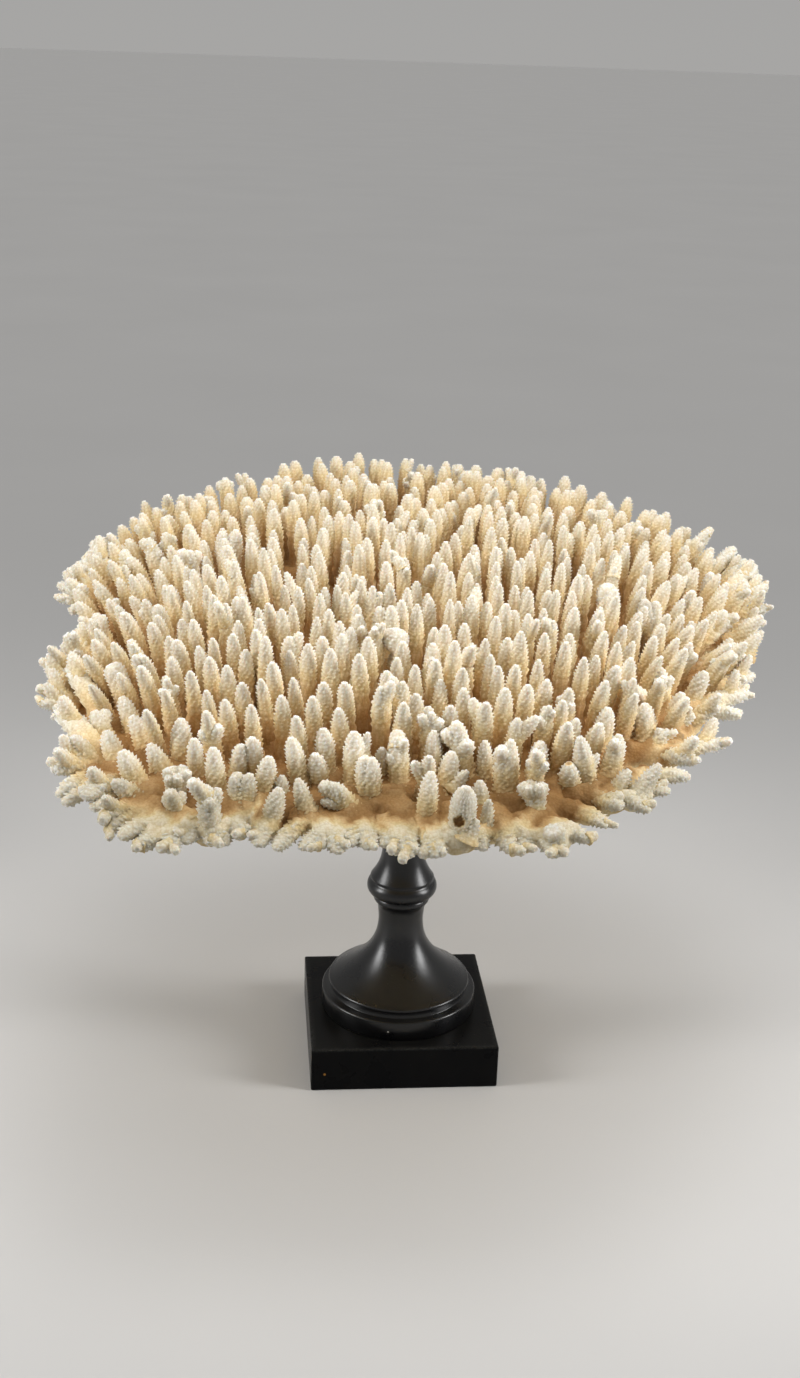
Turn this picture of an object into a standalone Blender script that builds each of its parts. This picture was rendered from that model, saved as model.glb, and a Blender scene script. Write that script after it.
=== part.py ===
"""A table coral, a flat-topped colony of upright branchlets, standing on a black turned pedestal.

The origin is the middle of the plinth's underside. X runs across the colony and -Y is its front.
"""

from math import atan2, cos, pi, radians, sin

import bmesh
import bpy
from mathutils import Vector

# Room left between two pieces that touch, on each side of a joint or a seam
GAP = 0.0003

# How far a cutter runs past the face that it opens, and the distance at which points are one
CUTTER_EXTRA = 0.0100
MERGE_DISTANCE = 0.00002

# Pedestal: the square plinth
PLINTH_SIDE = 0.100
PLINTH_HEIGHT = 0.0246
PLINTH_EDGE = 0.0008

# Pedestal: the turned column, as radii and heights above the surface that it stands on
FOOT_RADIUS = 0.0422
FOOT_TOP = 0.0354
LIP_ROUND = 0.0010
GROOVE_RADIUS = 0.0374
SKIRT_RADIUS = 0.0386
SKIRT_HEIGHT = 0.0402
SKIRT_ROUND = 0.0011
SKIRT_SHOULDER_IN = 0.0012
SKIRT_SHOULDER_UP = 0.0004
WAIST_RADIUS = 0.0121
WAIST_HEIGHT = 0.0780
SMALL_BEAD_HEIGHT = 0.0899
SMALL_BEAD_RADIUS = 0.0152
SMALL_BEAD_ROUND = 0.0027
SMALL_BEAD_FOOT_IN = 0.0020
SMALL_BEAD_FOOT_DOWN = 0.0033
LARGE_BEAD_HEIGHT = 0.0968
LARGE_BEAD_RADIUS = 0.0189
LARGE_BEAD_ROUND = 0.0052
UPPER_CONE_HEIGHT = 0.1023
UPPER_CONE_RADIUS = 0.0172
UPPER_CONE_STEP_IN = 0.0004
UPPER_CONE_STEP_DOWN = 0.0006
NECK_RADIUS = 0.0112
NECK_HEIGHT = 0.1200
DISH_RADIUS = 0.0270
DISH_HEIGHT = 0.1450
COLUMN_TOP = 0.1490
COLUMN_STEPS = 28

# Where each bead's arc starts and ends, in degrees above and below its widest line
LARGE_BEAD_ARC = (52, -57)
SMALL_BEAD_ARC = (42, -55)

# How hollow the turning's trumpets are: 1 is a straight cone, more pulls the middle to the axis
DISH_HOLLOW = 2.4
UPPER_CONE_HOLLOW = 2.2
BEAD_FOOT_HOLLOW = 0.6
SKIRT_HOLLOW = 2.4

# Spigot under the column, glued into the plinth
SPIGOT_RADIUS = 0.0100
SPIGOT_LENGTH = 0.0140

# Steel pin between the column and the coral
PIN_RADIUS = 0.0030
PIN_LENGTH = 0.0480
PIN_IN_COLUMN = 0.0260
PIN_SIDES = 20

# The colony's table: height of its upper face at the axis, and how it leans and sags
TABLE_HEIGHT = 0.2400
TABLE_RISE_BACK = 0.125
TABLE_RISE_RIGHT = 0.010
TABLE_SAG = 0.0070
TABLE_SAG_RADIUS = 0.180
TABLE_THICKNESS_RIM = 0.0075
TABLE_THICKNESS_MIDDLE = 0.0180

# Upright branchlets, which the solids reach without showing them one by one
BRANCHLET_LENGTH = 0.0380
BRANCHLET_LENGTH_RIM = 0.0220
RIM_FALL_START = 0.80

# The trunk, and how far out its limbs rise before they join the table
STALK_RADIUS = 0.0320
STALK_FOOT_RADIUS = 0.0250
STALK_SIDES = 26
STALK_SWELL = 0.05
STALK_RIDGES = 5
STALK_HOLLOW = 0.6
LIMB_ROOT_HEIGHT = 0.1770
LIMB_REACH = 0.0950
LIMB_HOLLOW = 1.4

# Outline of the table in plan: its reach from the axis every 15 degrees, from +X towards the back
RIM_REACH = (
    0.184, 0.202, 0.208, 0.192, 0.194, 0.196,
    0.199, 0.195, 0.196, 0.195, 0.190, 0.185,
    0.170, 0.189, 0.196, 0.212, 0.196, 0.181,
    0.181, 0.185, 0.177, 0.172, 0.170, 0.173,
)

# Main branches, each with the angle where its sector starts; it ends where the next one starts
FANS = (
    ("coral_fan_front", -113.0),
    ("coral_fan_front_right", -68.0),
    ("coral_fan_right", -23.0),
    ("coral_fan_back_right", 24.0),
    ("coral_fan_back", 68.0),
    ("coral_fan_back_left", 112.0),
    ("coral_fan_left", 158.0),
    ("coral_fan_front_left", 202.0),
)
FAN_RINGS = 11
FAN_SPOKES = 13
LIMBS_PER_FAN = 3.0
LIMB_RELIEF = 0.0035

# Finishes: a colour and a roughness each
BLACK_LACQUER = (0.012, 0.012, 0.013, 1.0)
BLACK_LACQUER_ROUGHNESS = 0.32
PIN_STEEL = (0.60, 0.60, 0.62, 1.0)
PIN_STEEL_ROUGHNESS = 0.35
CORAL_WHITE = (0.86, 0.76, 0.60, 1.0)
CORAL_ROUGHNESS = 0.75


def clear_scene():
    for item in list(bpy.data.objects):
        bpy.data.objects.remove(item)


def make_collection(name):
    collection = bpy.data.collections.new(name)
    bpy.context.scene.collection.children.link(collection)
    return collection


def make_material(name, color, roughness, metallic=0.0):
    material = bpy.data.materials.new(name)
    material.use_nodes = True
    shader = material.node_tree.nodes["Principled BSDF"]
    shader.inputs["Base Color"].default_value = color
    shader.inputs["Roughness"].default_value = roughness
    shader.inputs["Metallic"].default_value = metallic
    material.diffuse_color = color
    return material


def put_in(collection, item, material):
    for old in list(item.users_collection):
        old.objects.unlink(item)
    collection.objects.link(item)
    item.data.materials.clear()
    item.data.materials.append(material)


def make_cutter(collection, name, radius, bottom, top):
    """A round cutter along Z, kept out of the finished part."""
    bpy.ops.mesh.primitive_cylinder_add(
        vertices=COLUMN_STEPS, radius=radius, depth=top - bottom, location=(0, 0, (top + bottom) / 2)
    )
    cutter = bpy.context.object
    cutter.name = name
    cutter.hide_render = True
    cutter.display_type = "WIRE"
    for old in list(cutter.users_collection):
        old.objects.unlink(cutter)
    collection.objects.link(cutter)
    return cutter


def cut(item, cutter):
    boolean = item.modifiers.new("bore", "BOOLEAN")
    boolean.operation = "DIFFERENCE"
    boolean.solver = "EXACT"
    boolean.object = cutter


def arc(center_radius, center_height, radius, span, steps):
    """Points of a round stretch of a turned profile, as (radius, height); span is in degrees."""
    start, end = span
    points = []
    for step in range(steps + 1):
        angle = radians(start + (end - start) * step / steps)
        points.append((center_radius + radius * cos(angle), center_height + radius * sin(angle)))
    return points


def bead(widest, height, radius, span, steps):
    """A rounded ring whose widest line has this radius and height."""
    return arc(widest - radius, height, radius, span, steps)


def cove(start, end, hollow, steps):
    """Points of a trumpet-shaped stretch from start down to end; hollow pulls its middle to the axis."""
    points = []
    for step in range(1, steps):
        t = step / steps
        radius = start[0] + (end[0] - start[0]) * t ** hollow
        height = start[1] + (end[1] - start[1]) * t
        points.append((radius, height))
    return points


def column_profile():
    """The turning's outline: from the pin's bore, over the top, down the outer side to the spigot."""
    bore_radius = PIN_RADIUS + GAP
    bore_bottom = COLUMN_TOP - PIN_IN_COLUMN - GAP
    foot_bottom = PLINTH_HEIGHT + GAP
    dish_edge = (COLUMN_TOP - DISH_HEIGHT) / 2
    neck = (NECK_RADIUS, NECK_HEIGHT)
    waist = (WAIST_RADIUS, WAIST_HEIGHT)
    dish_underside = (DISH_RADIUS - 2 * dish_edge, DISH_HEIGHT)
    upper_cone = (UPPER_CONE_RADIUS, UPPER_CONE_HEIGHT)
    bead_foot = (SMALL_BEAD_RADIUS - SMALL_BEAD_FOOT_IN, SMALL_BEAD_HEIGHT - SMALL_BEAD_FOOT_DOWN)
    shoulder = (SKIRT_RADIUS - SKIRT_SHOULDER_IN, SKIRT_HEIGHT + SKIRT_ROUND + SKIRT_SHOULDER_UP)
    profile = [(0.0, bore_bottom), (bore_radius, bore_bottom), (bore_radius, COLUMN_TOP)]
    profile += arc(DISH_RADIUS - dish_edge, COLUMN_TOP - dish_edge, dish_edge, (90, -90), steps=5)
    profile += reversed(cove(neck, dish_underside, DISH_HOLLOW, steps=7))
    profile += [neck]
    profile += cove(neck, upper_cone, UPPER_CONE_HOLLOW, steps=5)
    profile += [upper_cone]
    profile += [(UPPER_CONE_RADIUS - UPPER_CONE_STEP_IN, UPPER_CONE_HEIGHT - UPPER_CONE_STEP_DOWN)]
    profile += bead(LARGE_BEAD_RADIUS, LARGE_BEAD_HEIGHT, LARGE_BEAD_ROUND, LARGE_BEAD_ARC, steps=6)
    profile += bead(SMALL_BEAD_RADIUS, SMALL_BEAD_HEIGHT, SMALL_BEAD_ROUND, SMALL_BEAD_ARC, steps=4)
    profile += cove(bead_foot, waist, BEAD_FOOT_HOLLOW, steps=2)
    profile += [waist]
    profile += cove(waist, shoulder, SKIRT_HOLLOW, steps=12)
    profile += bead(SKIRT_RADIUS, SKIRT_HEIGHT, SKIRT_ROUND, (80, -90), steps=4)
    profile += [(GROOVE_RADIUS, SKIRT_HEIGHT - SKIRT_ROUND), (GROOVE_RADIUS, FOOT_TOP)]
    profile += bead(FOOT_RADIUS, FOOT_TOP - LIP_ROUND, LIP_ROUND, (90, 0), steps=4)
    profile += [(FOOT_RADIUS, foot_bottom), (SPIGOT_RADIUS, foot_bottom)]
    profile += [(SPIGOT_RADIUS, foot_bottom - SPIGOT_LENGTH), (0.0, foot_bottom - SPIGOT_LENGTH)]
    return profile


def turn(name, profile, steps):
    """A turned piece: the profile swept round the Z axis."""
    mesh = bpy.data.meshes.new(name)
    points = [(radius, 0.0, height) for radius, height in profile]
    edges = [(index, index + 1) for index in range(len(points) - 1)]
    mesh.from_pydata(points, edges, [])
    item = bpy.data.objects.new(name, mesh)
    bpy.context.scene.collection.objects.link(item)
    screw = item.modifiers.new("turning", "SCREW")
    screw.steps = steps
    screw.render_steps = steps
    screw.use_merge_vertices = True
    screw.merge_threshold = MERGE_DISTANCE
    screw.use_smooth_shade = True
    return item


def make_plinth(collection, cutters, material):
    bpy.ops.mesh.primitive_cube_add(size=1.0, location=(0, 0, PLINTH_HEIGHT / 2))
    plinth = bpy.context.object
    plinth.name = "plinth"
    plinth.scale = (PLINTH_SIDE, PLINTH_SIDE, PLINTH_HEIGHT)
    bpy.ops.object.transform_apply(location=False, rotation=False, scale=True)
    bevel = plinth.modifiers.new("softened edges", "BEVEL")
    bevel.width = PLINTH_EDGE
    bevel.segments = 2
    bottom = PLINTH_HEIGHT - SPIGOT_LENGTH - GAP
    top = PLINTH_HEIGHT + CUTTER_EXTRA
    cut(plinth, make_cutter(cutters, "spigot_bore", SPIGOT_RADIUS + GAP, bottom, top))
    put_in(collection, plinth, material)


def make_column(collection, material):
    column = turn("column", column_profile(), COLUMN_STEPS)
    put_in(collection, column, material)


def make_pin(collection, material):
    bpy.ops.mesh.primitive_cylinder_add(
        vertices=PIN_SIDES,
        radius=PIN_RADIUS,
        depth=PIN_LENGTH,
        location=(0, 0, COLUMN_TOP - PIN_IN_COLUMN + PIN_LENGTH / 2),
    )
    pin = bpy.context.object
    pin.name = "mounting_pin"
    put_in(collection, pin, material)


def smooth_step(low, high, value):
    t = min(max((value - low) / (high - low), 0.0), 1.0)
    return t * t * (3.0 - 2.0 * t)


def rim_reach(angle):
    """How far the table reaches from the axis at this angle, smooth between the stated reaches."""
    count = len(RIM_REACH)
    place = (angle / (2 * pi) * count) % count
    index = int(place)
    t = place - index
    before, start, end, after = (RIM_REACH[(index + step) % count] for step in (-1, 0, 1, 2))
    slope_start = (end - before) / 2
    slope_end = (after - start) / 2
    return (
        start * (1 + 2 * t) * (1 - t) ** 2
        + slope_start * t * (1 - t) ** 2
        + end * t * t * (3 - 2 * t)
        - slope_end * t * t * (1 - t)
    )


def table_top(x, y):
    """Height of the table's upper face, from which the branchlets stand."""
    sag = TABLE_SAG * (x * x + y * y) / TABLE_SAG_RADIUS ** 2
    return TABLE_HEIGHT + TABLE_RISE_BACK * y + TABLE_RISE_RIGHT * x - sag


def table_bottom(x, y, out, share):
    """Height of the underside: limbs rise from the trunk and flatten into the table."""
    reach = (x * x + y * y) ** 0.5
    middle = 1.0 - smooth_step(STALK_RADIUS, LIMB_REACH, reach)
    thickness = TABLE_THICKNESS_MIDDLE + (TABLE_THICKNESS_RIM - TABLE_THICKNESS_MIDDLE) * out
    flat = table_top(x, y) - thickness
    ribs = LIMB_RELIEF * sin(pi * out) * cos(share * 2 * pi * LIMBS_PER_FAN)
    return flat + (LIMB_ROOT_HEIGHT - flat) * middle ** LIMB_HOLLOW - ribs


def branchlet_tips(x, y, out):
    """Height of the branchlets' tips; out runs from 0 at the trunk to 1 at the rim."""
    fall = smooth_step(RIM_FALL_START, 1.0, out)
    return table_top(x, y) + BRANCHLET_LENGTH + (BRANCHLET_LENGTH_RIM - BRANCHLET_LENGTH) * fall


def make_fan(collection, material, name, start, end):
    """One main branch: a sector of the table, from the trunk to the rim."""
    bm = bmesh.new()
    bmesh.ops.create_grid(bm, x_segments=FAN_RINGS, y_segments=FAN_SPOKES, size=0.5)
    lower = list(bm.verts)
    raised = bmesh.ops.extrude_face_region(bm, geom=list(bm.faces), use_keep_orig=True)
    upper = [item for item in raised["geom"] if isinstance(item, bmesh.types.BMVert)]
    for layer, verts in (("lower", lower), ("upper", upper)):
        for vert in verts:
            out, share = vert.co.x + 0.5, vert.co.y + 0.5
            angle = start + (end - start) * share
            inner = STALK_RADIUS + GAP
            reach = inner + (rim_reach(angle) - inner) * out
            side_gap = GAP / 2 * (1 - 2 * share)
            x = reach * cos(angle) - side_gap * sin(angle)
            y = reach * sin(angle) + side_gap * cos(angle)
            height = table_bottom(x, y, out, share) if layer == "lower" else branchlet_tips(x, y, out)
            vert.co = Vector((x, y, height))
    bmesh.ops.recalc_face_normals(bm, faces=list(bm.faces))
    mesh = bpy.data.meshes.new(name)
    bm.to_mesh(mesh)
    bm.free()
    fan = bpy.data.objects.new(name, mesh)
    put_in(collection, fan, material)


def make_stalk(collection, cutters, material):
    """The trunk, cut off flat below, and the middle of the table that stands on it."""
    foot = COLUMN_TOP + GAP
    tips = TABLE_HEIGHT + BRANCHLET_LENGTH
    profile = [(0.0, tips), (STALK_RADIUS, tips), (STALK_RADIUS, TABLE_HEIGHT)]
    profile += [(STALK_RADIUS, LIMB_ROOT_HEIGHT)]
    profile += cove((STALK_RADIUS, LIMB_ROOT_HEIGHT), (STALK_FOOT_RADIUS, foot), STALK_HOLLOW, steps=4)
    profile += [(STALK_FOOT_RADIUS, foot), (0.0, foot)]
    turned = turn("coral_stalk_turned", profile, STALK_SIDES)
    graph = bpy.context.evaluated_depsgraph_get()
    mesh = bpy.data.meshes.new_from_object(turned.evaluated_get(graph))
    bpy.data.objects.remove(turned)
    for vert in mesh.vertices:
        x, y, height = vert.co
        lean = smooth_step(LIMB_ROOT_HEIGHT, TABLE_HEIGHT, height)
        trunk = 1.0 - smooth_step(foot, LIMB_ROOT_HEIGHT, height)
        swell = 1.0 + STALK_SWELL * trunk * sin(STALK_RIDGES * atan2(y, x))
        rise = lean * (TABLE_RISE_BACK * y + TABLE_RISE_RIGHT * x)
        vert.co = Vector((x * swell, y * swell, height + rise))
    stalk = bpy.data.objects.new("coral_stalk", mesh)
    top = COLUMN_TOP - PIN_IN_COLUMN + PIN_LENGTH + GAP
    cut(stalk, make_cutter(cutters, "pin_bore", PIN_RADIUS + GAP, foot - CUTTER_EXTRA, top))
    put_in(collection, stalk, material)


def build():
    clear_scene()
    parts = make_collection("table_coral_on_pedestal")
    cutters = make_collection("cutters")
    lacquer = make_material("black_lacquer", BLACK_LACQUER, BLACK_LACQUER_ROUGHNESS)
    steel = make_material("pin_steel", PIN_STEEL, PIN_STEEL_ROUGHNESS, metallic=1.0)
    coral = make_material("coral_skeleton", CORAL_WHITE, CORAL_ROUGHNESS)
    make_plinth(parts, cutters, lacquer)
    make_column(parts, lacquer)
    make_pin(parts, steel)
    make_stalk(parts, cutters, coral)
    ends = [start for _, start in FANS[1:]] + [FANS[0][1] + 360.0]
    for (name, start), end in zip(FANS, ends):
        make_fan(parts, coral, name, radians(start), radians(end))


build()
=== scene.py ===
"""A table coral on a black turned pedestal: every visible surface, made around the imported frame.

The colony is grown: runners spread from the trunk, fork and knit into a table, branchlets stand on
them, and lobes end them at the rim. X runs across the colony, -Y is its front, lengths are metres.
"""

from math import cos, radians, sin, sqrt, tau
from typing import NamedTuple

import bmesh
import bpy
import numpy as np
from bpy.props import FloatProperty, FloatVectorProperty, IntProperty, PointerProperty
from mathutils import Matrix, Vector


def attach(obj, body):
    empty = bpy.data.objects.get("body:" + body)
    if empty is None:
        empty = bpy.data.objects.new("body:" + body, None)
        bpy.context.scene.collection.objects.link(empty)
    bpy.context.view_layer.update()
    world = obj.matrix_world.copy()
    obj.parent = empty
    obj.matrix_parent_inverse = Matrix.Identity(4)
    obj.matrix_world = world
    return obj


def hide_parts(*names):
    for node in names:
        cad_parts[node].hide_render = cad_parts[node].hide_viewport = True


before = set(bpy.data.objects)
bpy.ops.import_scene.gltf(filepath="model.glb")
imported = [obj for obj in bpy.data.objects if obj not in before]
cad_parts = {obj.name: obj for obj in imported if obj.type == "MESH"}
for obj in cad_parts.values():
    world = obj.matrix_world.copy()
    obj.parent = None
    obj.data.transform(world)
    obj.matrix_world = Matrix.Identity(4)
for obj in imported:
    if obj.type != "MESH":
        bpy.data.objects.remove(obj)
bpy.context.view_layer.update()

MM = 0.001

bl_info = {
    "name": "Table coral on pedestal",
    "version": (1, 0, 0),
    "blender": (4, 5, 0),
    "location": "3D View > Sidebar > Coral",
    "description": "Grows a table coral on its turned pedestal and sets a plain stage for it",
    "category": "Object",
}

# The colony's main branches, each with the angle where its sector starts, as the frame has them
FANS = (
    ("coral_fan_front", -113.0),
    ("coral_fan_front_right", -68.0),
    ("coral_fan_right", -23.0),
    ("coral_fan_back_right", 24.0),
    ("coral_fan_back", 68.0),
    ("coral_fan_back_left", 112.0),
    ("coral_fan_left", 158.0),
    ("coral_fan_front_left", 202.0),
)

# The photograph's camera: where it stands, how it is turned (degrees), and its picture in pixels
VIEW_PLACE = np.array((-0.08717, -0.82631, 0.52634))
VIEW_YAW, VIEW_PITCH, VIEW_ROLL = 5.696, 20.855, 1.994
VIEW_FOCAL, VIEW_MIDDLE, VIEW_TALL = 1713.5, (400.0, 689.0), 1378.0


class Growth(NamedTuple):
    """A branchlet or rim lobe with a shape of its own, seen in the photograph.

    foot and tip are pixels of the photograph: the foot stands on the table there, start mm above it,
    and the tip is height mm above the table. radius is in mm, knobs is a count, dust is 0 to 1.
    """

    foot: tuple
    tip: tuple
    height: float
    radius: float = 4.0
    knobs: int = 0
    form: str = "finger"
    start: float = 0.0
    dust: float = 0.0


FRONT_FINGERS = (
    Growth((197, 779), (194, 739), 21, 3.9),
    Growth((218, 797), (213, 748), 22, 4.5),
    Growth((238, 779), (241, 745), 19, 4.1),
    Growth((255, 777), (252, 738), 22, 4.1),
    Growth((242, 806), (233, 777), 13, 4.4, 1, dust=0.7),
    Growth((242, 806), (250, 774), 14, 4.4, dust=0.7),
    Growth((212, 829), (205, 786), 20, 5.4, 4, form="spindle", dust=0.5),
    Growth((262, 797), (269, 757), 18, 4.3),
    Growth((281, 798), (282, 776), 10, 3.5, dust=0.6),
    Growth((270, 824), (279, 788), 15, 4.3, form="spindle"),
    Growth((302, 787), (291, 738), 23, 4.4),
    Growth((308, 815), (298, 779), 15, 4.0, dust=0.4),
    Growth((321, 785), (315, 754), 17, 4.7, form="spindle"),
    Growth((329, 778), (323, 729), 23, 4.2),
    Growth((355, 788), (354, 732), 25, 5.0, 1),
    Growth((362, 752), (368, 733), 23, 2.8, start=14),
    Growth((371, 802), (362, 758), 19, 4.5, 1, form="spindle"),
    Growth((371, 802), (372, 758), 20, 4.4, form="spindle"),
    Growth((352, 809), (332, 784), 13, 5.0, 1),
    Growth((350, 807), (322, 801), 6, 3.8),
    Growth((400, 788), (397, 737), 22, 4.9, 3),
    Growth((381, 775), (382, 748), 16, 3.4),
    Growth((401, 812), (401, 806), 2.5, 5.0, form="stump"),
    Growth((433, 780), (434, 731), 23, 4.1),
    Growth((466, 779), (456, 722), 27, 5.2, 3),
    Growth((444, 789), (452, 752), 17, 4.9),
    Growth((452, 785), (467, 771), 11, 3.2, start=4),
    Growth((425, 821), (431, 772), 20, 4.3, form="spindle"),
    Growth((459, 835), (466, 787), 22, 5.8, form="bored", dust=0.3),
    Growth((466, 834), (477, 820), 9, 3.8, start=3, dust=0.6),
    Growth((486, 829), (489, 800), 12, 3.0, dust=0.7),
    Growth((481, 809), (480, 781), 12, 4.0),
    Growth((485, 783), (485, 741), 19, 3.4),
    Growth((505, 794), (502, 746), 22, 4.6, 1),
    Growth((508, 794), (511, 740), 25, 4.5),
    Growth((533, 781), (541, 742), 19, 4.8, 1),
    Growth((538, 815), (535, 792), 9, 4.6, form="cup", dust=0.9),
    Growth((571, 789), (569, 764), 13, 4.9, form="stained"),
    Growth((588, 788), (580, 737), 24, 4.5, dust=0.3),
    Growth((588, 769), (598, 754), 15, 2.9, start=9),
    Growth((557, 839), (553, 829), 7, 4.6, form="stump"),
    Growth((598, 752), (608, 708), 21, 4.8),
    Growth((608, 778), (619, 735), 20, 5.0, 2),
    Growth((612, 794), (629, 770), 10, 4.2, dust=0.9),
    Growth((176, 797), (176, 777), 11, 4.4, form="cup", dust=0.4),
    Growth((176, 817), (174, 797), 8, 5.2, 3, dust=0.5),
    Growth((181, 764), (181, 719), 20, 5.2, form="spindle"),
    Growth((166, 776), (150, 744), 14, 4.7),
    Growth((142, 789), (122, 751), 16, 5.0),
    Growth((140, 799), (113, 781), 10, 4.8, dust=0.7),
    Growth((150, 747), (132, 716), 14, 4.9),
    Growth((138, 736), (122, 697), 17, 4.6),
    Growth((118, 766), (106, 731), 14, 5.0),
    Growth((108, 743), (94, 711), 13, 4.7, 1),
)
MIDDLE_FINGERS = (
    Growth((396, 699), (395, 629), 37, 3.6, form="bulb"),
    Growth((609, 650), (607, 585), 36, 5.3, form="blunt", dust=0.5),
    Growth((648, 656), (645, 600), 30, 4.6, 1, dust=0.8),
    Growth((648, 656), (656, 602), 29, 4.4),
    Growth((376, 626), (373, 566), 34, 4.2, 2),
    Growth((166, 592), (149, 538), 27, 4.8, 3),
    Growth((192, 604), (190, 551), 30, 5.2, 2),
    Growth((229, 592), (222, 532), 33, 4.6),
    Growth((229, 592), (236, 530), 34, 4.4),
    Growth((130, 707), (112, 664), 20, 5.6, form="blunt", dust=0.3),
    Growth((655, 714), (631, 688), 15, 4.9),
    Growth((646, 742), (645, 704), 18, 5.2, 1),
    Growth((650, 748), (668, 730), 9, 3.9, 2),
    Growth((663, 712), (660, 668), 21, 4.5),
    Growth((672, 722), (682, 693), 14, 4.5),
    Growth((672, 724), (694, 715), 6, 3.7, 1),
    Growth((637, 795), (659, 764), 14, 4.4, dust=0.5),
    Growth((680, 636), (692, 591), 27, 4.9),
    Growth((704, 612), (711, 573), 24, 4.6),
    Growth((688, 704), (705, 672), 17, 4.6, dust=0.4),
)
RIM_LOBES = (
    Growth((690, 572), (708, 530), 26, 4.4, 1),
    Growth((712, 590), (734, 547), 24, 4.5),
    Growth((722, 594), (745, 559), 19, 3.6),
    Growth((722, 613), (755, 564), 22, 4.6),
    Growth((738, 614), (767, 585), 17, 4.4),
    Growth((745, 622), (770, 606), 10, 3.6, 1),
    Growth((742, 631), (766, 622), 7, 3.6, 1),
    Growth((738, 641), (760, 637), 3, 3.8, 1),
    Growth((704, 652), (732, 616), 17, 4.7, 1),
    Growth((712, 669), (738, 648), 11, 4.2, dust=0.4),
    Growth((720, 672), (748, 658), 6, 4.0, 1),
    Growth((722, 691), (754, 674), 6, 3.8, 1),
    Growth((715, 706), (749, 693), 4, 4.4, 2, dust=0.4),
    Growth((712, 713), (741, 716), 1, 4.0, 1),
    Growth((700, 720), (719, 706), 8, 4.2, dust=0.5),
    Growth((695, 749), (726, 743), 3, 4.2, 2, dust=0.3),
    Growth((672, 758), (697, 762), 3, 4.4, 1, dust=0.5),
    Growth((668, 776), (690, 777), 1, 4.0, 1),
    Growth((650, 790), (670, 791), 1, 3.9, 1),
    Growth((632, 801), (650, 811), 0, 4.3, 1),
    Growth((604, 801), (622, 807), 2, 4.6, 1, dust=0.6),
    Growth((590, 816), (608, 826), 0, 4.0, 1),
    Growth((572, 832), (590, 841), -1, 4.2, 2),
    Growth((552, 842), (555, 857), -2, 4.6, 2),
    Growth((523, 837), (526, 851), -2, 4.0, 1),
    Growth((504, 832), (512, 853), -2, 4.4, 1),
    Growth((479, 836), (484, 850), -3, 4.2, 0),
    Growth((434, 840), (434, 857), -2, 4.6, 2),
    Growth((405, 838), (409, 857), -2, 4.4, 2),
    Growth((393, 836), (398, 854), -2, 4.0, 1),
    Growth((394, 833), (382, 846), -1, 3.6, 0),
    Growth((366, 832), (369, 849), -1, 3.9, 2),
    Growth((358, 830), (351, 846), -1, 3.6, 1),
    Growth((334, 836), (339, 853), -2, 4.2, 1),
    Growth((323, 832), (320, 848), -1, 4.2, 1),
    Growth((320, 834), (301, 849), -1, 3.4, 0),
    Growth((298, 826), (276, 850), -1, 3.8, 1),
    Growth((262, 830), (259, 846), -1, 4.2, 1),
    Growth((236, 826), (242, 838), 0, 4.2, 2, dust=0.3),
    Growth((222, 832), (226, 845), -2, 3.6, 1),
    Growth((216, 830), (210, 844), -1, 4.4, 1),
    Growth((190, 829), (185, 843), -1, 4.6, 1),
    Growth((172, 835), (168, 852), -2, 4.6, 2),
    Growth((152, 836), (143, 850), -2, 4.0, 1, dust=0.4),
    Growth((150, 838), (133, 847), -1, 3.8, 1),
    Growth((140, 828), (120, 838), 1, 4.4, 0),
    Growth((124, 820), (106, 831), 0, 4.2, 1),
    Growth((122, 812), (101, 819), 3, 4.6, 1),
    Growth((110, 800), (92, 809), 1, 4.6, 1, dust=0.4),
    Growth((108, 790), (84, 797), 6, 5.0, 2, dust=0.4),
    Growth((84, 790), (64, 804), 0, 4.4, 1),
    Growth((82, 782), (58, 796), 2, 4.0, 1),
    Growth((80, 770), (51, 769), 4, 4.8, 2),
    Growth((84, 764), (60, 756), 6, 4.2, 1, dust=0.6),
    Growth((92, 762), (70, 742), 9, 4.8),
    Growth((94, 754), (60, 708), 11, 4.9),
    Growth((64, 713), (52, 718), 1, 2.8, 0),
    Growth((62, 709), (39, 703), 4, 3.8, 1),
    Growth((64, 704), (41, 687), 8, 4.3),
    Growth((64, 692), (47, 660), 13, 4.8, 1),
    Growth((92, 712), (70, 664), 15, 4.6),
    Growth((78, 656), (66, 650), 4, 2.8, 0),
    Growth((86, 662), (74, 631), 13, 4.4),
    Growth((103, 650), (91, 619), 14, 5.0, 1),
    Growth((88, 603), (71, 613), 0, 3.4, 1),
    Growth((82, 604), (57, 598), 5, 3.8, 1),
    Growth((82, 600), (58, 584), 8, 3.8, 1),
    Growth((89, 597), (69, 568), 12, 3.8, 1),
    Growth((93, 592), (78, 562), 14, 4.0),
    Growth((101, 592), (84, 556), 17, 4.1, 1),
    Growth((109, 588), (93, 541), 23, 4.3),
    Growth((127, 578), (103, 538), 24, 4.3),
)


# Pixels of the photograph where the table has a hole
TABLE_HOLES = (
    (643, 765), (664, 776), (578, 823), (590, 822), (600, 821), (713, 655), (741, 598), (196, 612),
)
# How far the runners and the low mounds keep from a hole
RUNNER_CLEARANCE, MOUND_CLEARANCE = 8 * MM, 10 * MM
# A runner's points are this far apart, and its axis is this far below the table's upper face
RUNNER_STEP, RUNNER_DEPTH = 3 * MM, 5 * MM
# The limbs below the table leave the trunk at this height and end this far from the axis
LIMB_START, LIMB_REACH = 0.190, 0.105
# The trunk from its flat lower end up into the table, in mm, and its count of ridges
TRUNK_FOOT, TRUNK_TOP, TRUNK_RIDGES = 149.3, 238.0, 20
# How far apart branchlets stand at least, in mm: along the runners, and between them
RUNNER_APART, FILL_APART = 9.0, 9.6
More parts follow.
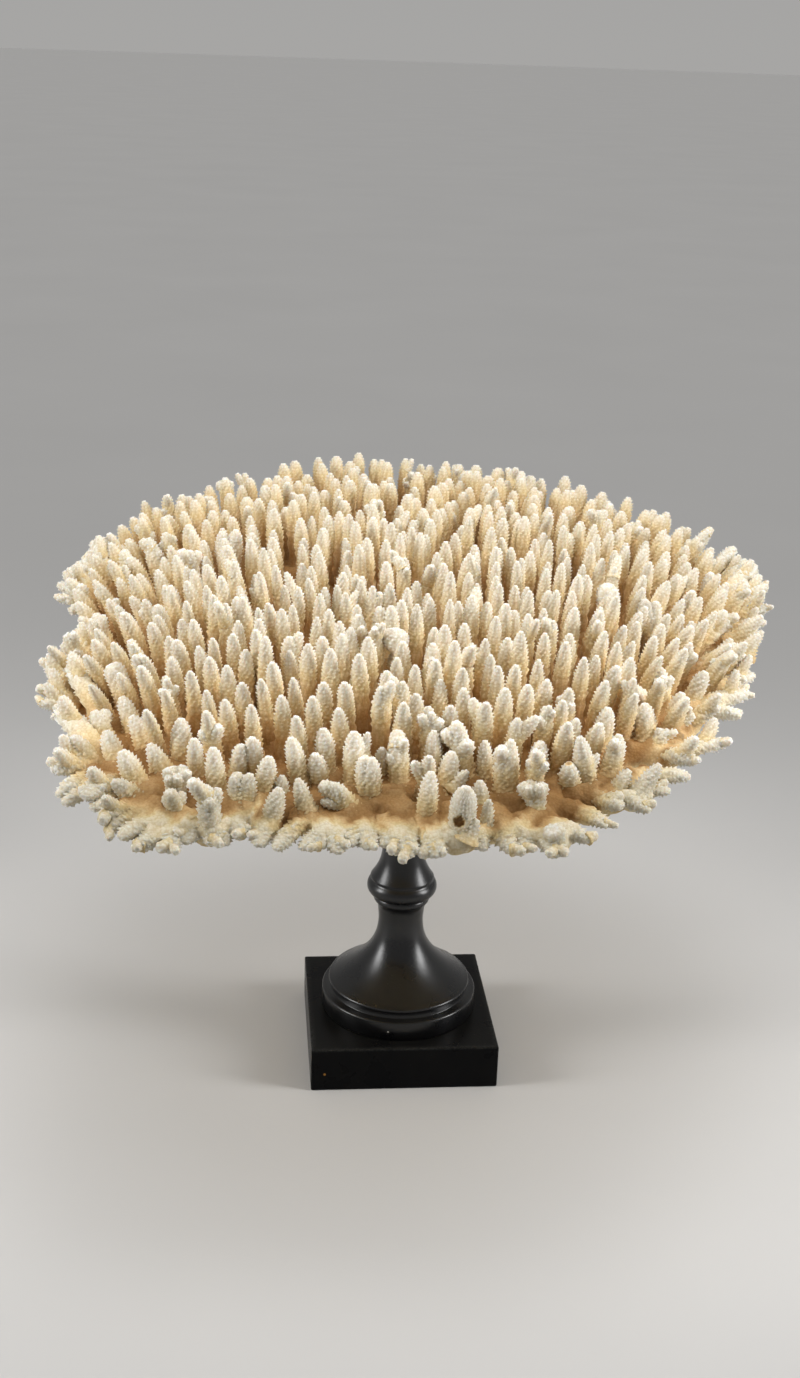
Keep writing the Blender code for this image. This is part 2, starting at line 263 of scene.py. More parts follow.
# Random places between the runners where a branchlet is tried
FILL_TRIES = 9000
# Share of the branchlets away from the rim that have knobs, and of the others that have a bud
KNOBBY_SHARE, BUDDED_SHARE = 0.04, 0.16
# Grid of the knitted skin, how often it is smoothed, and how many of its faces it keeps
KNIT_VOXEL, KNIT_PASSES, KNIT_KEEP = 2.0 * MM, 3, 0.5
BORE_RADIUS = 2.3 * MM


class ColonySizes(bpy.types.PropertyGroup):
    """Sizes of the colony, which the frame's solids follow too."""

    seed: IntProperty(name="Seed", description="Another seed grows another colony", default=11)
    table_height: FloatProperty(
        name="Table height", description="Upper face at the axis", default=0.240, unit="LENGTH"
    )
    rise_back: FloatProperty(name="Rise to the back", description="Slope of the table", default=0.125)
    rise_right: FloatProperty(name="Rise to the right", description="Slope of the table", default=0.010)
    sag: FloatProperty(
        name="Sag", description="Fall of the table 180 mm from the axis", default=0.007, unit="LENGTH"
    )
    trunk_radius: FloatProperty(
        name="Trunk radius", description="Where the main branches leave", default=0.032, unit="LENGTH"
    )
    branchlet_length: FloatProperty(
        name="Branchlet length", description="In the middle of the table", default=0.038, unit="LENGTH"
    )
    rim_shortening: FloatProperty(
        name="Rim shortening", description="Of the branchlets by the rim", default=0.014, unit="LENGTH"
    )
    branchlet_radius: FloatProperty(
        name="Branchlet radius", description="At its thickest", default=0.0033, unit="LENGTH"
    )
    spacing: FloatProperty(
        name="Runner spacing", description="Between neighbouring runners", default=0.0103, unit="LENGTH"
    )
    stride: FloatProperty(
        name="Stride", description="Between branchlets along a runner", default=0.0130, unit="LENGTH"
    )
    cup_pitch: FloatProperty(
        name="Cup pitch", description="From one row of cups to the next", default=0.00175, unit="LENGTH"
    )


def gathered(points):
    return np.asarray(points, float).reshape(-1, 3)


def smooth_step(low, high, value):
    t = np.clip((value - low) / (high - low), 0.0, 1.0)
    return t * t * (3.0 - 2.0 * t)


def unit(way):
    way = np.asarray(way, float)
    return way / np.maximum(np.linalg.norm(way, axis=-1, keepdims=True), 1e-12)


def bearing(spot):
    """The angle round the axis at which a place lies."""
    return np.arctan2(spot[1], spot[0])


def table_top(sizes, x, y):
    """Height of the table's upper face, from which the branchlets stand."""
    sag = sizes.sag * (x * x + y * y) / 0.180 ** 2
    return sizes.table_height + sizes.rise_back * y + sizes.rise_right * x - sag


def on_table(sizes, spot, above=0.0):
    """The point over a place in the plan that is this far above the table's upper face."""
    return np.array([*spot, table_top(sizes, *spot) + above])


def view_axes():
    """The photograph's camera as a matrix: its right, its upward and its backward directions."""
    yaw, pitch = radians(VIEW_YAW), radians(VIEW_PITCH)
    ahead = Vector((cos(pitch) * sin(yaw), cos(pitch) * cos(yaw), -sin(pitch)))
    right = ahead.cross(Vector((0, 0, 1))).normalized()
    upright = Matrix((right, right.cross(ahead), -ahead)).transposed()
    return upright @ Matrix.Rotation(radians(VIEW_ROLL), 3, "Z")


def view_way(pixel):
    """The way in which the photograph's camera sees one of its pixels."""
    across, down = (pixel[0] - VIEW_MIDDLE[0]) / VIEW_FOCAL, (pixel[1] - VIEW_MIDDLE[1]) / VIEW_FOCAL
    return np.array(view_axes() @ Vector((across, -down, -1.0)))


def table_place(sizes, pixel, above):
    """The point that a pixel of the photograph shows, this many mm above the table."""
    way = view_way(pixel)
    height = sizes.table_height
    for _ in range(25):
        place = VIEW_PLACE + way * (height - VIEW_PLACE[2]) / way[2]
        height = table_top(sizes, place[0], place[1]) + above * MM
    return place


def measured_rim():
    """The table's outline as the frame has it: angles from +X and the reach at each."""
    corners = {}
    for name, _ in FANS:
        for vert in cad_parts[name].data.vertices:
            x, y, _ = vert.co
            angle = round(float(np.degrees(np.arctan2(y, x)))) % 360
            corners[angle] = max(corners.get(angle, 0.0), sqrt(x * x + y * y))
    angles = np.array(sorted(corners))
    reaches = np.array([corners[angle] for angle in angles])
    outer = reaches > 0.140
    return np.radians(angles[outer]), reaches[outer]


RIM = measured_rim()


def rim_reach(angle):
    return np.interp(np.mod(angle, tau), RIM[0], RIM[1], period=tau)


def rim_share(spot):
    """How near a place on the table is to its rim: 0 on the axis, 1 at the rim."""
    return np.hypot(*spot) / rim_reach(bearing(spot))


def front_share(angle):
    """1 at the colony's front, 0 at its sides and back."""
    return smooth_step(0.25, 0.9, -np.sin(angle))


def back_share(angle):
    """1 at the colony's back, 0 at its sides and front."""
    return smooth_step(0.2, 0.95, np.sin(angle))


def behind(spot):
    """0 in the front half of the table, 1 well into its back half."""
    return smooth_step(0.0, 0.12, spot[1])


def ripple(x, y):
    """An uneven pattern over the table, from 0 to 1, its hollows and heights about 10 mm across."""
    across = np.sin(x / (2.6 * MM) + 2 * np.sin(y / (4.1 * MM)))
    along = np.sin(y / (3.1 * MM) + 2 * np.sin(x / (3.7 * MM)))
    return 0.5 + 0.25 * (across + along)


def table_depth(x, y):
    """The table's depth mark here: 1 between the branchlets, where it is painted darkest as shade, less
    where it is pale by the rim.
    """
    angle = np.arctan2(y, x)
    front = front_share(angle)
    inside = rim_reach(angle) - np.hypot(x, y)
    uneven = 0.5 + 0.9 * ripple(x, y)
    wider = 1.0 + smooth_step(0.05, 0.11, x)
    band = (20 - 7 * front) * uneven * wider * MM
    pale = (0.45 + 0.40 * front) * (1.0 - smooth_step(0.15, 1.0, inside / band))
    return 1.0 - pale


class Stem(NamedTuple):
    """A grown branchlet that others may grow from: its axis, its way along it, and its radius."""

    axis: np.ndarray
    way: np.ndarray
    radius: float


class Heap:
    """Meshes gathered into one: points, triangles, and how deep, raised and dusty each point is.

    What grows in it draws from its chance and follows its sizes.
    """

    def __init__(self, chance=None, sizes=None):
        self.chance, self.sizes = chance, sizes
        self.points, self.tris = [], []
        self.marks = {"depth": [], "cup": [], "dust": []}
        self.count = 0

    def add(self, points, tris, depth=0.0, cup=0.0, dust=0.0):
        self.points.append(points)
        self.tris.append(tris + self.count)
        for label, values in (("depth", depth), ("cup", cup), ("dust", dust)):
            self.marks[label].append(np.broadcast_to(values, len(points)))
        self.count += len(points)

    def to_object(self, name):
        points, tris = np.concatenate(self.points), np.concatenate(self.tris)
        mesh = bpy.data.meshes.new(name)
        mesh.vertices.add(len(points))
        mesh.vertices.foreach_set("co", points.astype(np.float32).ravel())
        mesh.loops.add(tris.size)
        mesh.loops.foreach_set("vertex_index", tris.astype(np.int32).ravel())
        mesh.polygons.add(len(tris))
        mesh.polygons.foreach_set("loop_start", np.arange(0, tris.size, 3, dtype=np.int32))
        for label, values in self.marks.items():
            mark = mesh.attributes.new(label, "FLOAT", "POINT")
            mark.data.foreach_set("value", np.concatenate(values).astype(np.float32))
        mesh.update(calc_edges=True)
        mesh.validate()
        mesh.shade_smooth()
        return new_object(name, mesh)


def new_object(name, data):
    item = bpy.data.objects.new(name, data)
    bpy.context.scene.collection.objects.link(item)
    return item


def modify(item, name, kind, **settings):
    modifier = item.modifiers.new(name, kind)
    for label, value in settings.items():
        setattr(modifier, label, value)


def swept_tris(rows, sides, raised):
    """Triangles between the rings of a tube, split so that each raised point is a peak of its own."""
    row, side = np.meshgrid(np.arange(rows - 1), np.arange(sides), indexing="ij")
    a = row * sides + side
    b = row * sides + (side + 1) % sides
    c, d = b + sides, a + sides
    peak = raised.ravel()[a]
    first = np.where(peak[..., None], np.stack([a, b, d], -1), np.stack([a, b, c], -1))
    second = np.where(peak[..., None], np.stack([b, c, d], -1), np.stack([a, c, d], -1))
    return np.concatenate([first.reshape(-1, 3), second.reshape(-1, 3)])


def cap_tris(ring_start, sides, middle, outward_up):
    """Triangles that close a ring to its middle point, at the tip end or at the foot end."""
    side = np.arange(sides)
    edge = ring_start + side, ring_start + (side + 1) % sides
    ends = edge if outward_up else edge[::-1]
    return np.stack([ends[0], ends[1], np.full(sides, middle)], -1)


def row_places(length, pitch, fine_reach):
    """How far a branchlet's rings are from its tip: close where it shows, looser by its foot."""
    places, step = [0.0], pitch / 2
    while places[-1] < length:
        places.append(places[-1] + step)
        if places[-1] > fine_reach:
            step *= 1.4
    places[-1] = length
    return np.array(places[::-1])


def branchlet_girths(down, length, radius, form):
    """A branchlet's radius this far below its tip: a blunt or swollen end, and a flared foot."""
    share = np.clip((down + 1.1 * MM) / form.get("taper", 16 * MM), 0.0, 1.0)
    girths = radius * (1.0 - (1.0 - share) ** 2) ** 0.6
    knob = form.get("knob")
    if knob:
        ball = np.sqrt(np.maximum(knob ** 2 - (down + 0.3 * MM - knob) ** 2, 0.0))
        girths = np.maximum(girths * smooth_step(knob, 3 * knob, down), ball)
    foot_share = 1.0 - smooth_step(0.0, min(11 * MM, 0.6 * length), length - down)
    return girths * (1.0 + form.get("flare", 0.6) * foot_share ** 2)


def swellings(chance, angle, down):
    """A branchlet's slow swellings, round it and along it, as shares of its radius."""
    first, second, third, _ = chance.uniform(0, tau, 4)
    down = down[:, None]
    uneven = 0.05 * np.sin(2 * angle + first + down / (7 * MM))
    uneven += 0.03 * np.sin(3 * angle + second - down / (9 * MM))
    uneven += 0.04 * np.sin(third + down / (5 * MM))
    return uneven


def cup_rows(chance, down, length, sides, height):
    """Which points of a branchlet's rings are cups, and how far each of them stands out.

    They are every other point of every other ring, and lower by the tip and by the foot.
    """
    rows = len(down)
    row = np.arange(rows)[::-1, None]
    shift = np.repeat(chance.integers(0, 2, rows), 2)[:rows, None]
    raised = (row % 2 == 0) & ((shift + np.arange(sides)) % 2 == 0)
    cups = height * chance.uniform(0.65, 1.2, (rows, sides))
    cups *= 0.25 + 0.75 * smooth_step(0.0, 3 * MM, down)[:, None]
    cups *= 0.3 + 0.7 * smooth_step(0.0, 6 * MM, length - down)[:, None]
    return raised, cups


def branchlet(heap, foot, ways, length, radius, **form):
    """One branchlet: a bent, tapering tube with rows of cups that point out and towards its tip.

    ways are its directions at the foot and at the tip. form may give sides, wide (its width across
    the bend over its depth), cups (how far they stand out), taper, flare, knob (a swollen end's
    radius), fine (how far down its rings stay close), deep (the depth mark at its foot), fade (how
    quickly that is left behind), stain (the depth mark at its tip), dust, and bore (a pixel of the
    photograph where a hole is bored into it).
    """
    chance = heap.chance
    sides = form.get("sides", 16)
    down = row_places(length, heap.sizes.cup_pitch, form.get("fine", 19 * MM))
    rows = len(down)
    along = (length - down) / length
    way = unit(np.outer(1 - along, ways[0]) + np.outer(along, ways[1]))
    steps = np.diff(length - down, prepend=0.0)
    axis = np.asarray(foot) + np.cumsum(way * steps[:, None], axis=0)
    across = np.cross(ways[0], ways[1])
    if np.linalg.norm(across) < 0.02:
        across = np.cross(ways[0], (chance.normal(), chance.normal(), 0.0))
    across = unit(across)
    inward = unit(np.cross(across, way))
    angle = np.arange(sides) / sides * tau
    girths = branchlet_girths(down, length, radius, form)
    uneven = swellings(chance, angle, down)
    raised, cups = cup_rows(chance, down, length, sides, form.get("cups", 0.90 * MM))
    out = girths[:, None] * (1.0 + uneven) + np.where(raised, cups, -0.2 * cups)
    wide = sqrt(form.get("wide", 1.0))
    points = axis[:, None] + inward[:, None] * (out / wide * np.cos(angle))[..., None]
    points += across * (out * wide * np.sin(angle))[..., None]
    lift = np.where(raised, 0.8 * cups, chance.uniform(-0.2, 0.2, (rows, sides)) * MM)
    points += way[:, None] * lift[..., None]
    lip = axis[-1] + way[-1] * 0.25 * MM + 0.6 * (points[-1] - axis[-1])
    ends = [axis[-1] - way[-1] * 0.35 * MM, axis[0] - way[0] * 0.5 * MM]
    points = np.concatenate([points.reshape(-1, 3), lip, gathered(ends)])
    total = (rows + 1) * sides
    peaks = np.concatenate([raised, np.zeros((1, sides), bool)])
    tris = [swept_tris(rows + 1, sides, peaks)]
    tris += [cap_tris(rows * sides, sides, total, True), cap_tris(0, sides, total + 1, False)]
    # The depth mark grows towards the foot: partly the skeleton's tan, partly painted shade low between
    # the branchlets.
    deep = form.get("deep", 0.5) * (down / length) ** form.get("fade", 1.2)
    stain = form.get("stain", 0.0)
    depth = np.concatenate([np.repeat(deep, sides), np.full(sides, 0.7 * stain), [stain, deep[0]]])
    cup = np.concatenate([raised.ravel().astype(float), np.ones(sides), [0.0, 0.0]])
    # Points inside the bored hole get a dark depth mark: painted shade in the hole.
    if "bore" in form:
        depth = np.maximum(depth, 0.9 * bore_hole(points, axis, form["bore"], radius))
    heap.add(points, np.concatenate(tris), depth, cup, form.get("dust", 0.0))
    return Stem(axis, way, radius)


def seen_along(way, points):
    """How far ahead of the photograph's camera points lie along a way, and how far beside it."""
    ahead = (points - VIEW_PLACE) @ way
    return ahead, np.linalg.norm(points - VIEW_PLACE - ahead[:, None] * way, axis=1)


def bore_hole(points, axis, pixel, radius):
    """Pushes in the points round a pixel of the photograph; gives 1 for each point in the hole."""
    way = unit(view_way(pixel))
    ahead, aside = seen_along(way, points)
    axis_ahead, axis_aside = seen_along(way, axis)
    middle = axis_ahead[np.argmin(axis_aside)]
    inside = (aside < BORE_RADIUS) & (ahead < middle)
    points[inside] += way * (middle - 0.35 * radius - ahead[inside])[:, None]
    return inside.astype(float)


def bud(heap, stem, place, around, spread, length, radius, **form):
    """A side branchlet on a stem, place from its foot to its tip, leaning out by spread."""
    index = int(place * (len(stem.axis) - 1))
    way = stem.way[index]
    side = unit(np.cross(way, (cos(around), sin(around), 0.3)))
    out = unit(way * cos(spread) + side * sin(spread))
    up = unit(out + 0.5 * way)
    branchlet(heap, stem.axis[index], (out, up), length, radius, sides=14, flare=0.3, **form)


def solid_tube(points, wide, high, sides=8):
    """A plain closed tube along points, this wide and high to each side, for knitting the table."""
    points = gathered(points)
    way = unit(np.gradient(points, axis=0))
    across = unit(np.cross(way, (0.0, 0.0, 1.0)))
    upward = np.cross(across, way)
    angle = np.arange(sides) / sides * tau
    wide = np.broadcast_to(wide, len(points))[:, None, None]
    high = np.broadcast_to(high, len(points))[:, None, None]
    rings = points[:, None] + across[:, None] * np.cos(angle)[:, None] * wide
    rings = rings + upward[:, None] * np.sin(angle)[:, None] * high
    rows = len(points)
    tris = [swept_tris(rows, sides, np.zeros((rows, sides), bool))]
    tris += [cap_tris((rows - 1) * sides, sides, rows * sides, True)]
    tris += [cap_tris(0, sides, rows * sides + 1, False)]
    ends = gathered([points[-1], points[0]])
    return np.concatenate([rings.reshape(-1, 3), ends]), np.concatenate(tris)


def grow_runners(chance, start, end, sizes):
    """Paths of one fan's runners from the trunk to the rim: they fork as the fan widens."""
    reach = sizes.trunk_radius - 6 * MM
    paths = [[(reach, start + (end - start) * share)] for share in (0.3, 0.7)]
    live, drift = [0, 1], [0.0, 0.0]
    while live:
        reach += RUNNER_STEP
        room = (end - start) * reach / len(live)
        if room > sizes.spacing * chance.uniform(0.98, 1.12):
            spot = int(chance.integers(len(live)))
            parent = paths[live[spot]]
            live.insert(spot + 1, len(paths))
            drift.insert(spot + 1, 0.0)
            paths.append([parent[-1]])
        going = []
        for spot, index in enumerate(live):
            last = paths[index][-1][1]
            target = start + (end - start) * (spot + 0.5) / len(live)
            drift[spot] = 0.8 * drift[spot] + chance.normal(0.0, 0.22 * MM) / reach
            angle = last + 0.16 * (target - last) + drift[spot]
            paths[index].append((reach, angle))
            if reach < rim_reach(angle) - 4 * MM:
                going.append(spot)
        live, drift = [live[spot] for spot in going], [drift[spot] for spot in going]
    return [np.array(path) for path in paths]


def to_plan(path):
    """A runner's path as X and Y."""
    return np.stack([path[:, 0] * np.cos(path[:, 1]), path[:, 0] * np.sin(path[:, 1])], -1)


def thinning(spot):
    """0 where branchlets stand close, 1 by the rim of the front, where they thin out."""
    return front_share(bearing(spot)) * smooth_step(0.78, 0.9, rim_share(spot))


def has_room(spot, taken, apart):
    """Whether a branchlet fits here: inside the rim, and at least this many mm from the others."""
    loose = thinning(spot)
    margin = (8 + 10 * loose) * MM
    if np.hypot(*spot) >= rim_reach(bearing(spot)) - margin:
        return False
    distance = (apart + 3 * loose + behind(spot)) * MM
    return np.min(np.hypot(*(np.array(taken) - spot).T)) > distance


def plan_colony(sizes):
    """Where the runners run and where the branchlets stand, for all fans at once."""
    chance = np.random.default_rng(sizes.seed)
    starts = [radians(start) for _, start in FANS]
    ends = starts[1:] + [starts[0] + tau]
    runners = [grow_runners(chance, start, end, sizes) for start, end in zip(starts, ends)]
    taken = [table_place(sizes, pixel, 0.0)[:2] for pixel in TABLE_HOLES]
    for growth in (*FRONT_FINGERS, *MIDDLE_FINGERS, *RIM_LOBES):
        foot, tip = chord_of(growth, sizes)
        front = front_share(bearing(foot))
        taken += [foot[:2], ((0.75 - 0.25 * front) * foot + (0.25 + 0.25 * front) * tip)[:2]]
    placed = len(taken)
    for path in sum(runners, []):
        plan = to_plan(path)
        place = chance.uniform(0.0, sizes.stride)
        while place < RUNNER_STEP * (len(plan) - 1):
            spot = plan[int(place / RUNNER_STEP)] + chance.normal(0.0, 0.7 * MM, 2)
            if has_room(spot, taken, RUNNER_APART):
                taken.append(spot)
                place += sizes.stride * chance.uniform(0.8, 1.2) * (1.0 + 0.5 * thinning(spot))
            else:
                place += RUNNER_STEP
    for spot in chance.uniform(-0.2, 0.2, (FILL_TRIES, 2)):
        if has_room(spot, taken, FILL_APART):
            taken.append(spot)
    return runners, np.array(taken[placed:])


def fan_of(spot, sizes):
    """The name of the piece that carries a branchlet standing here."""
    if np.hypot(*spot) < sizes.trunk_radius:
        return "coral_stalk"
    first = FANS[0][1]
    angle = first + (float(np.degrees(bearing(spot))) - first) % 360.0
    return [name for name, start in FANS if start <= angle][-1]


def girth_share(spot):
    """How thick branchlets are here: thicker all round than in the middle."""
    angle = bearing(spot)
    beside = (1.0 - front_share(angle)) * (1.0 - 0.3 * back_share(angle))
    front = 0.16 * smooth_step(0.02, 0.10, -spot[1])
    return 1.0 + max(front, 0.20 * beside * smooth_step(0.35, 0.75, rim_share(spot)))


def lean_at(spot, turn=0.0, extra=0.0):
    """The way a branchlet points here: upright in the middle, leaning out more towards the rim."""
    angle = bearing(spot)
    most = 52.0 - 20.0 * front_share(angle) - 36.0 * back_share(angle)
    lean = radians(2.0 + most * rim_share(spot) ** 3.2 + extra)
    return np.array([sin(lean) * cos(angle + turn), sin(lean) * sin(angle + turn), cos(lean)])


def stand_branchlet(heap, spot):
    """A branchlet on the table, sometimes with knobs or a bud."""
    chance, sizes = heap.chance, heap.sizes
    share, angle, back = rim_share(spot), bearing(spot), behind(spot)
    tip_way = lean_at(spot, chance.normal(0.0, 0.12), chance.normal(0.0, 4.0))
    foot_way = unit(tip_way * (1, 1, 0) * 0.55 + (0, 0, tip_way[2] + 0.25))
    shorter = sizes.rim_shortening * smooth_step(0.45, 0.95, share) * (1.0 - 0.5 * back_share(angle))
    length = (sizes.branchlet_length - shorter) * chance.uniform(0.86, 1.12) + 3 * MM
    room = (1 - share) / max(share, 0.01) * np.hypot(*spot) + 3 * MM
    length = min(length, max(15 * MM, room / max(np.hypot(*tip_way[:2]), 0.05)))
    radius = sizes.branchlet_radius * chance.uniform(0.88, 1.12) * girth_share(spot)
    taper = chance.uniform(14, 25) * (1.0 - 0.35 * back) * MM
    wide = chance.uniform(0.9, 1.2)
    fine = (15 + 8 * smooth_step(0.65, 0.8, share)) * MM
    stem = branchlet(
        heap, on_table(sizes, spot, -3 * MM), (foot_way, tip_way), length, radius, taper=taper,
        wide=wide, fine=fine, deep=table_depth(*spot), fade=1.2 - 0.45 * back,
    )
    by_rim = smooth_step(0.62, 0.85, share)
    knobby = KNOBBY_SHARE + by_rim * (0.12 + 0.24 * front_share(angle))
    if chance.random() < knobby:
        add_knobs(heap, stem, int(chance.integers(2, 5)))
    elif chance.random() < BUDDED_SHARE:
        place = chance.uniform(0.3, 0.75)
        around, spread = chance.uniform(0, tau), radians(chance.uniform(22, 45))
        length = chance.uniform(9, 15) * MM
        deep = 0.8 - 0.8 * place
        bud(heap, stem, place, around, spread, length, 0.72 * radius, taper=9 * MM, deep=deep)


def add_knobs(heap, stem, count, **form):
    """Short blunt knobs round the upper half of a branchlet."""
    chance = heap.chance
    start = chance.uniform(0, tau)
    for number in range(count):
        place = chance.uniform(0.4, 0.8)
        around = start + tau * number / count + chance.normal(0.0, 0.3)
        spread = radians(chance.uniform(30, 50))
        length = chance.uniform(1.6, 2.3) * stem.radius
        radius = stem.radius * chance.uniform(0.5, 0.75)
        bud(
            heap, stem, place, around, spread, length, radius, taper=5 * MM, fine=8 * MM, deep=0.3,
            **form,
        )


def add_ring(heap, stem, dust):
    """Six blunt knobs in a ring, with a hollow between them."""
    chance = heap.chance
    for number in range(6):
        around = tau * (number + 0.3) / 6
        spread = radians(chance.uniform(38, 52))
        length = chance.uniform(1.8, 2.2) * stem.radius
        radius = stem.radius * chance.uniform(0.6, 0.75)
        bud(
            heap, stem, 0.75, around, spread, length, radius, taper=5 * MM, fine=12 * MM, deep=0.35,
            dust=dust,
        )


def add_nubs(heap, stem, count):
    """Small blunt nubs to the sides of a lobe's outer half."""
    chance = heap.chance
    start = int(chance.integers(2))
    for number in range(count):
        index = int(chance.uniform(0.45, 0.95) * (len(stem.axis) - 1))
        side = (1 if (number + start) % 2 else -1) * chance.uniform(35, 75)
        level = unit(stem.way[index] * (1, 1, 0.3))
        nub = turned(level, side, np.degrees(np.arcsin(level[2])) + chance.uniform(-10, 35))
        length = chance.uniform(1.3, 1.8) * stem.radius
        radius = chance.uniform(0.45, 0.65) * stem.radius
        branchlet(
            heap, stem.axis[index], (nub, nub + 0.5 * stem.way[index]), length, radius, sides=8,
            cups=0.6 * MM, taper=4 * MM, flare=0.3, deep=0.3, fine=7 * MM,
        )


def add_riser(heap, stem):
    """A short branchlet that rises from the middle of a lobe."""
    chance = heap.chance
    index = int(chance.uniform(0.4, 0.6) * (len(stem.axis) - 1))
    up = turned(stem.way[index], chance.uniform(-40, 40), chance.uniform(45, 65))
    length = chance.uniform(10, 14) * MM
    branchlet(
        heap, stem.axis[index], (up, up + (0, 0, 0.3)), length, 0.75 * stem.radius, sides=14,
        taper=9 * MM, flare=0.3, deep=0.4,
    )


FORMS = {
    "finger": {"fine": 24 * MM, "flare": 0.9},
    "spindle": {"fine": 24 * MM, "flare": -0.2, "taper": 13 * MM},
    "lobe": {"fine": 20 * MM, "flare": 0.2, "cups": 1.1 * MM, "sides": 12, "taper": 11 * MM},
    "stump": {"taper": 3 * MM, "flare": 0.3},
    "cup": {"taper": 5 * MM, "flare": 0.4},
    "blunt": {"fine": 24 * MM, "taper": 6 * MM},
    "bulb": {"knob": 6.2 * MM, "fine": 24 * MM, "sides": 24},
    "stained": {"fine": 20 * MM, "taper": 9 * MM, "stain": 0.8},
    "bored": {"fine": 40 * MM, "flare": 0.05, "sides": 40, "bore": (459.5, 821.5)},
}


def chord_of(growth, sizes):
    """A growth's foot and tip in space; a lobe's foot is drawn back into the table."""
    foot = table_place(sizes, growth.foot, growth.start)
    tip = table_place(sizes, growth.tip, growth.height)
    if growth.form == "lobe":
        longer = 1.8 - 0.4 * front_share(bearing(foot))
        foot = tip + longer * (foot - tip)
        foot[2] = table_top(sizes, *foot[:2])
    upright = max(unit(tip - foot)[2], 0.0)
    return foot - (0.0, 0.0, (0.5 + 2.5 * upright) * MM), tip


def grow(heap, growth):
    """A growth that is read off the photograph: its body, with knobs, nubs or a ring of them."""
    chance = heap.chance
    foot, tip = chord_of(growth, heap.sizes)
    chord = tip - foot
    length = float(np.linalg.norm(chord))
    ways = unit(chord / length + (0.0, 0.0, 0.18)), unit(chord / length - (0.0, 0.0, 0.18))
    form = {"taper": chance.uniform(11, 17) * MM, "wide": chance.uniform(0.95, 1.15), "fade": 1.9}
    form["deep"] = 0.4 if growth.start else 0.95 * table_depth(*foot[:2])
    form.update(FORMS[growth.form])
    form["flare"] = form.get("flare", 0.6) * max(chord[2] / length, 0.0) ** 2
    front = front_share(bearing(foot))
    if growth.form == "lobe":
        form["wide"] = 1.1 + 0.6 * front
    radius = 0.94 * growth.radius * MM
    stem = branchlet(heap, foot, ways, length, radius, dust=growth.dust, **form)
    if growth.form == "cup":
        add_ring(heap, stem, 0.3 * growth.dust)
    elif growth.form == "lobe":
        add_nubs(heap, stem, growth.knobs + 1 - round(front))
        if growth.height > 2:
            add_riser(heap, stem)
    else:
        add_knobs(heap, stem, growth.knobs, dust=0.5 * growth.dust)


def turned(way, sideways, upward):
    """A direction swung sideways about the upright and then lifted, both in degrees."""
    level = Matrix.Rotation(radians(sideways), 3, "Z") @ Vector((way[0], way[1], 0.0)).normalized()
    lift = radians(upward)
    return np.array([level.x * cos(lift), level.y * cos(lift), sin(lift)])


def ends_at_back(path):
    """Whether a runner ends by the rim of the back."""
    reach, angle = path[-1]
    return len(path) > 4 and reach > rim_reach(angle) - 8 * MM and sin(angle) > 0.45


def plan_lobe(chance, path, sizes):
    """The lobe that ends a runner: its foot, its ways at foot and tip, its length and its radius."""
    angle = path[-1][1]
    front = front_share(angle)
    (x0, y0), (x1, y1) = to_plan(path)[-2:]
    out = turned((x1 - x0, y1 - y0), chance.normal(0, 8), 0.0)
    length = chance.uniform(16, 24 - 5 * front) * MM
    rise = chance.normal(34.0 - 30.0 * front, 7.0)
    end = np.array([cos(angle), sin(angle), 0.0]) * (rim_reach(angle) - chance.uniform(0, 4) * MM)
    foot = end - out * length * cos(radians(0.7 * rise))
    foot[2] = table_top(sizes, *foot[:2]) - 3.5 * MM
    radius = (chance.uniform(3.1, 3.9) + 0.8 * front) * MM
    return foot, turned(out, 0, 0.3 * rise), turned(out, 0, 1.2 * rise), length, radius


def rim_lobe(heap, foot, foot_way, tip_way, length, radius):
    """The end of a runner: a knobby branch that rises from the table's edge, with nubs by its tip."""
    chance = heap.chance
    wide, taper = chance.uniform(1.0, 1.3), chance.uniform(8, 12) * MM
    stem = branchlet(
        heap, foot, (foot_way, tip_way), length, radius, sides=14, wide=wide, cups=1.0 * MM,
        taper=taper, flare=0.2, deep=0.7, fine=16 * MM,
    )
    add_nubs(heap, stem, int(chance.integers(2, 5)))


def knit(name, tubes):
    """One smooth skin round many closed tubes, as points and triangles."""
    heap = Heap()
    for points, tris in tubes:
        heap.add(points, tris)
    item = heap.to_object(name)
    modify(item, "knit", "REMESH", mode="VOXEL", voxel_size=KNIT_VOXEL)
    modify(item, "soften", "SMOOTH", factor=0.5, iterations=KNIT_PASSES)
    modify(item, "fewer faces", "DECIMATE", ratio=KNIT_KEEP)
    graph = bpy.context.evaluated_depsgraph_get()
    mesh = bpy.data.meshes.new_from_object(item.evaluated_get(graph))
    bpy.data.objects.remove(item)
    mesh.calc_loop_triangles()
    points = np.empty(len(mesh.vertices) * 3)
    mesh.vertices.foreach_get("co", points)
    tris = np.empty(len(mesh.loop_triangles) * 3, int)
    mesh.loop_triangles.foreach_get("vertices", tris)
    bpy.data.meshes.remove(mesh)
    return points.reshape(-1, 3), tris.reshape(-1, 3)


def root_tube(foot, foot_way, way, length, radius):
    """A lobe's root: a tube from inside the table to half-way along the lobe."""
    middle = foot + 0.25 * length * foot_way
    root = [foot - 8 * MM * foot_way, foot, middle, middle + 0.3 * length * way]
    girths = (np.array([0.88, 0.84, 0.7, 0.45]) + 0.45 * front_share(bearing(foot))) * radius
    return solid_tube(root, girths, 0.8 * girths)


def branchlet_stub(spot, sizes):
    """The flared foot that a branchlet grows from, for knitting into the table."""
    stub = on_table(sizes, spot) + np.outer(np.array([-5, -1, 5]) * MM, lean_at(spot))
    girths = np.array([7.6, 6.0, 3.6]) * MM
    return solid_tube(stub, girths, girths)


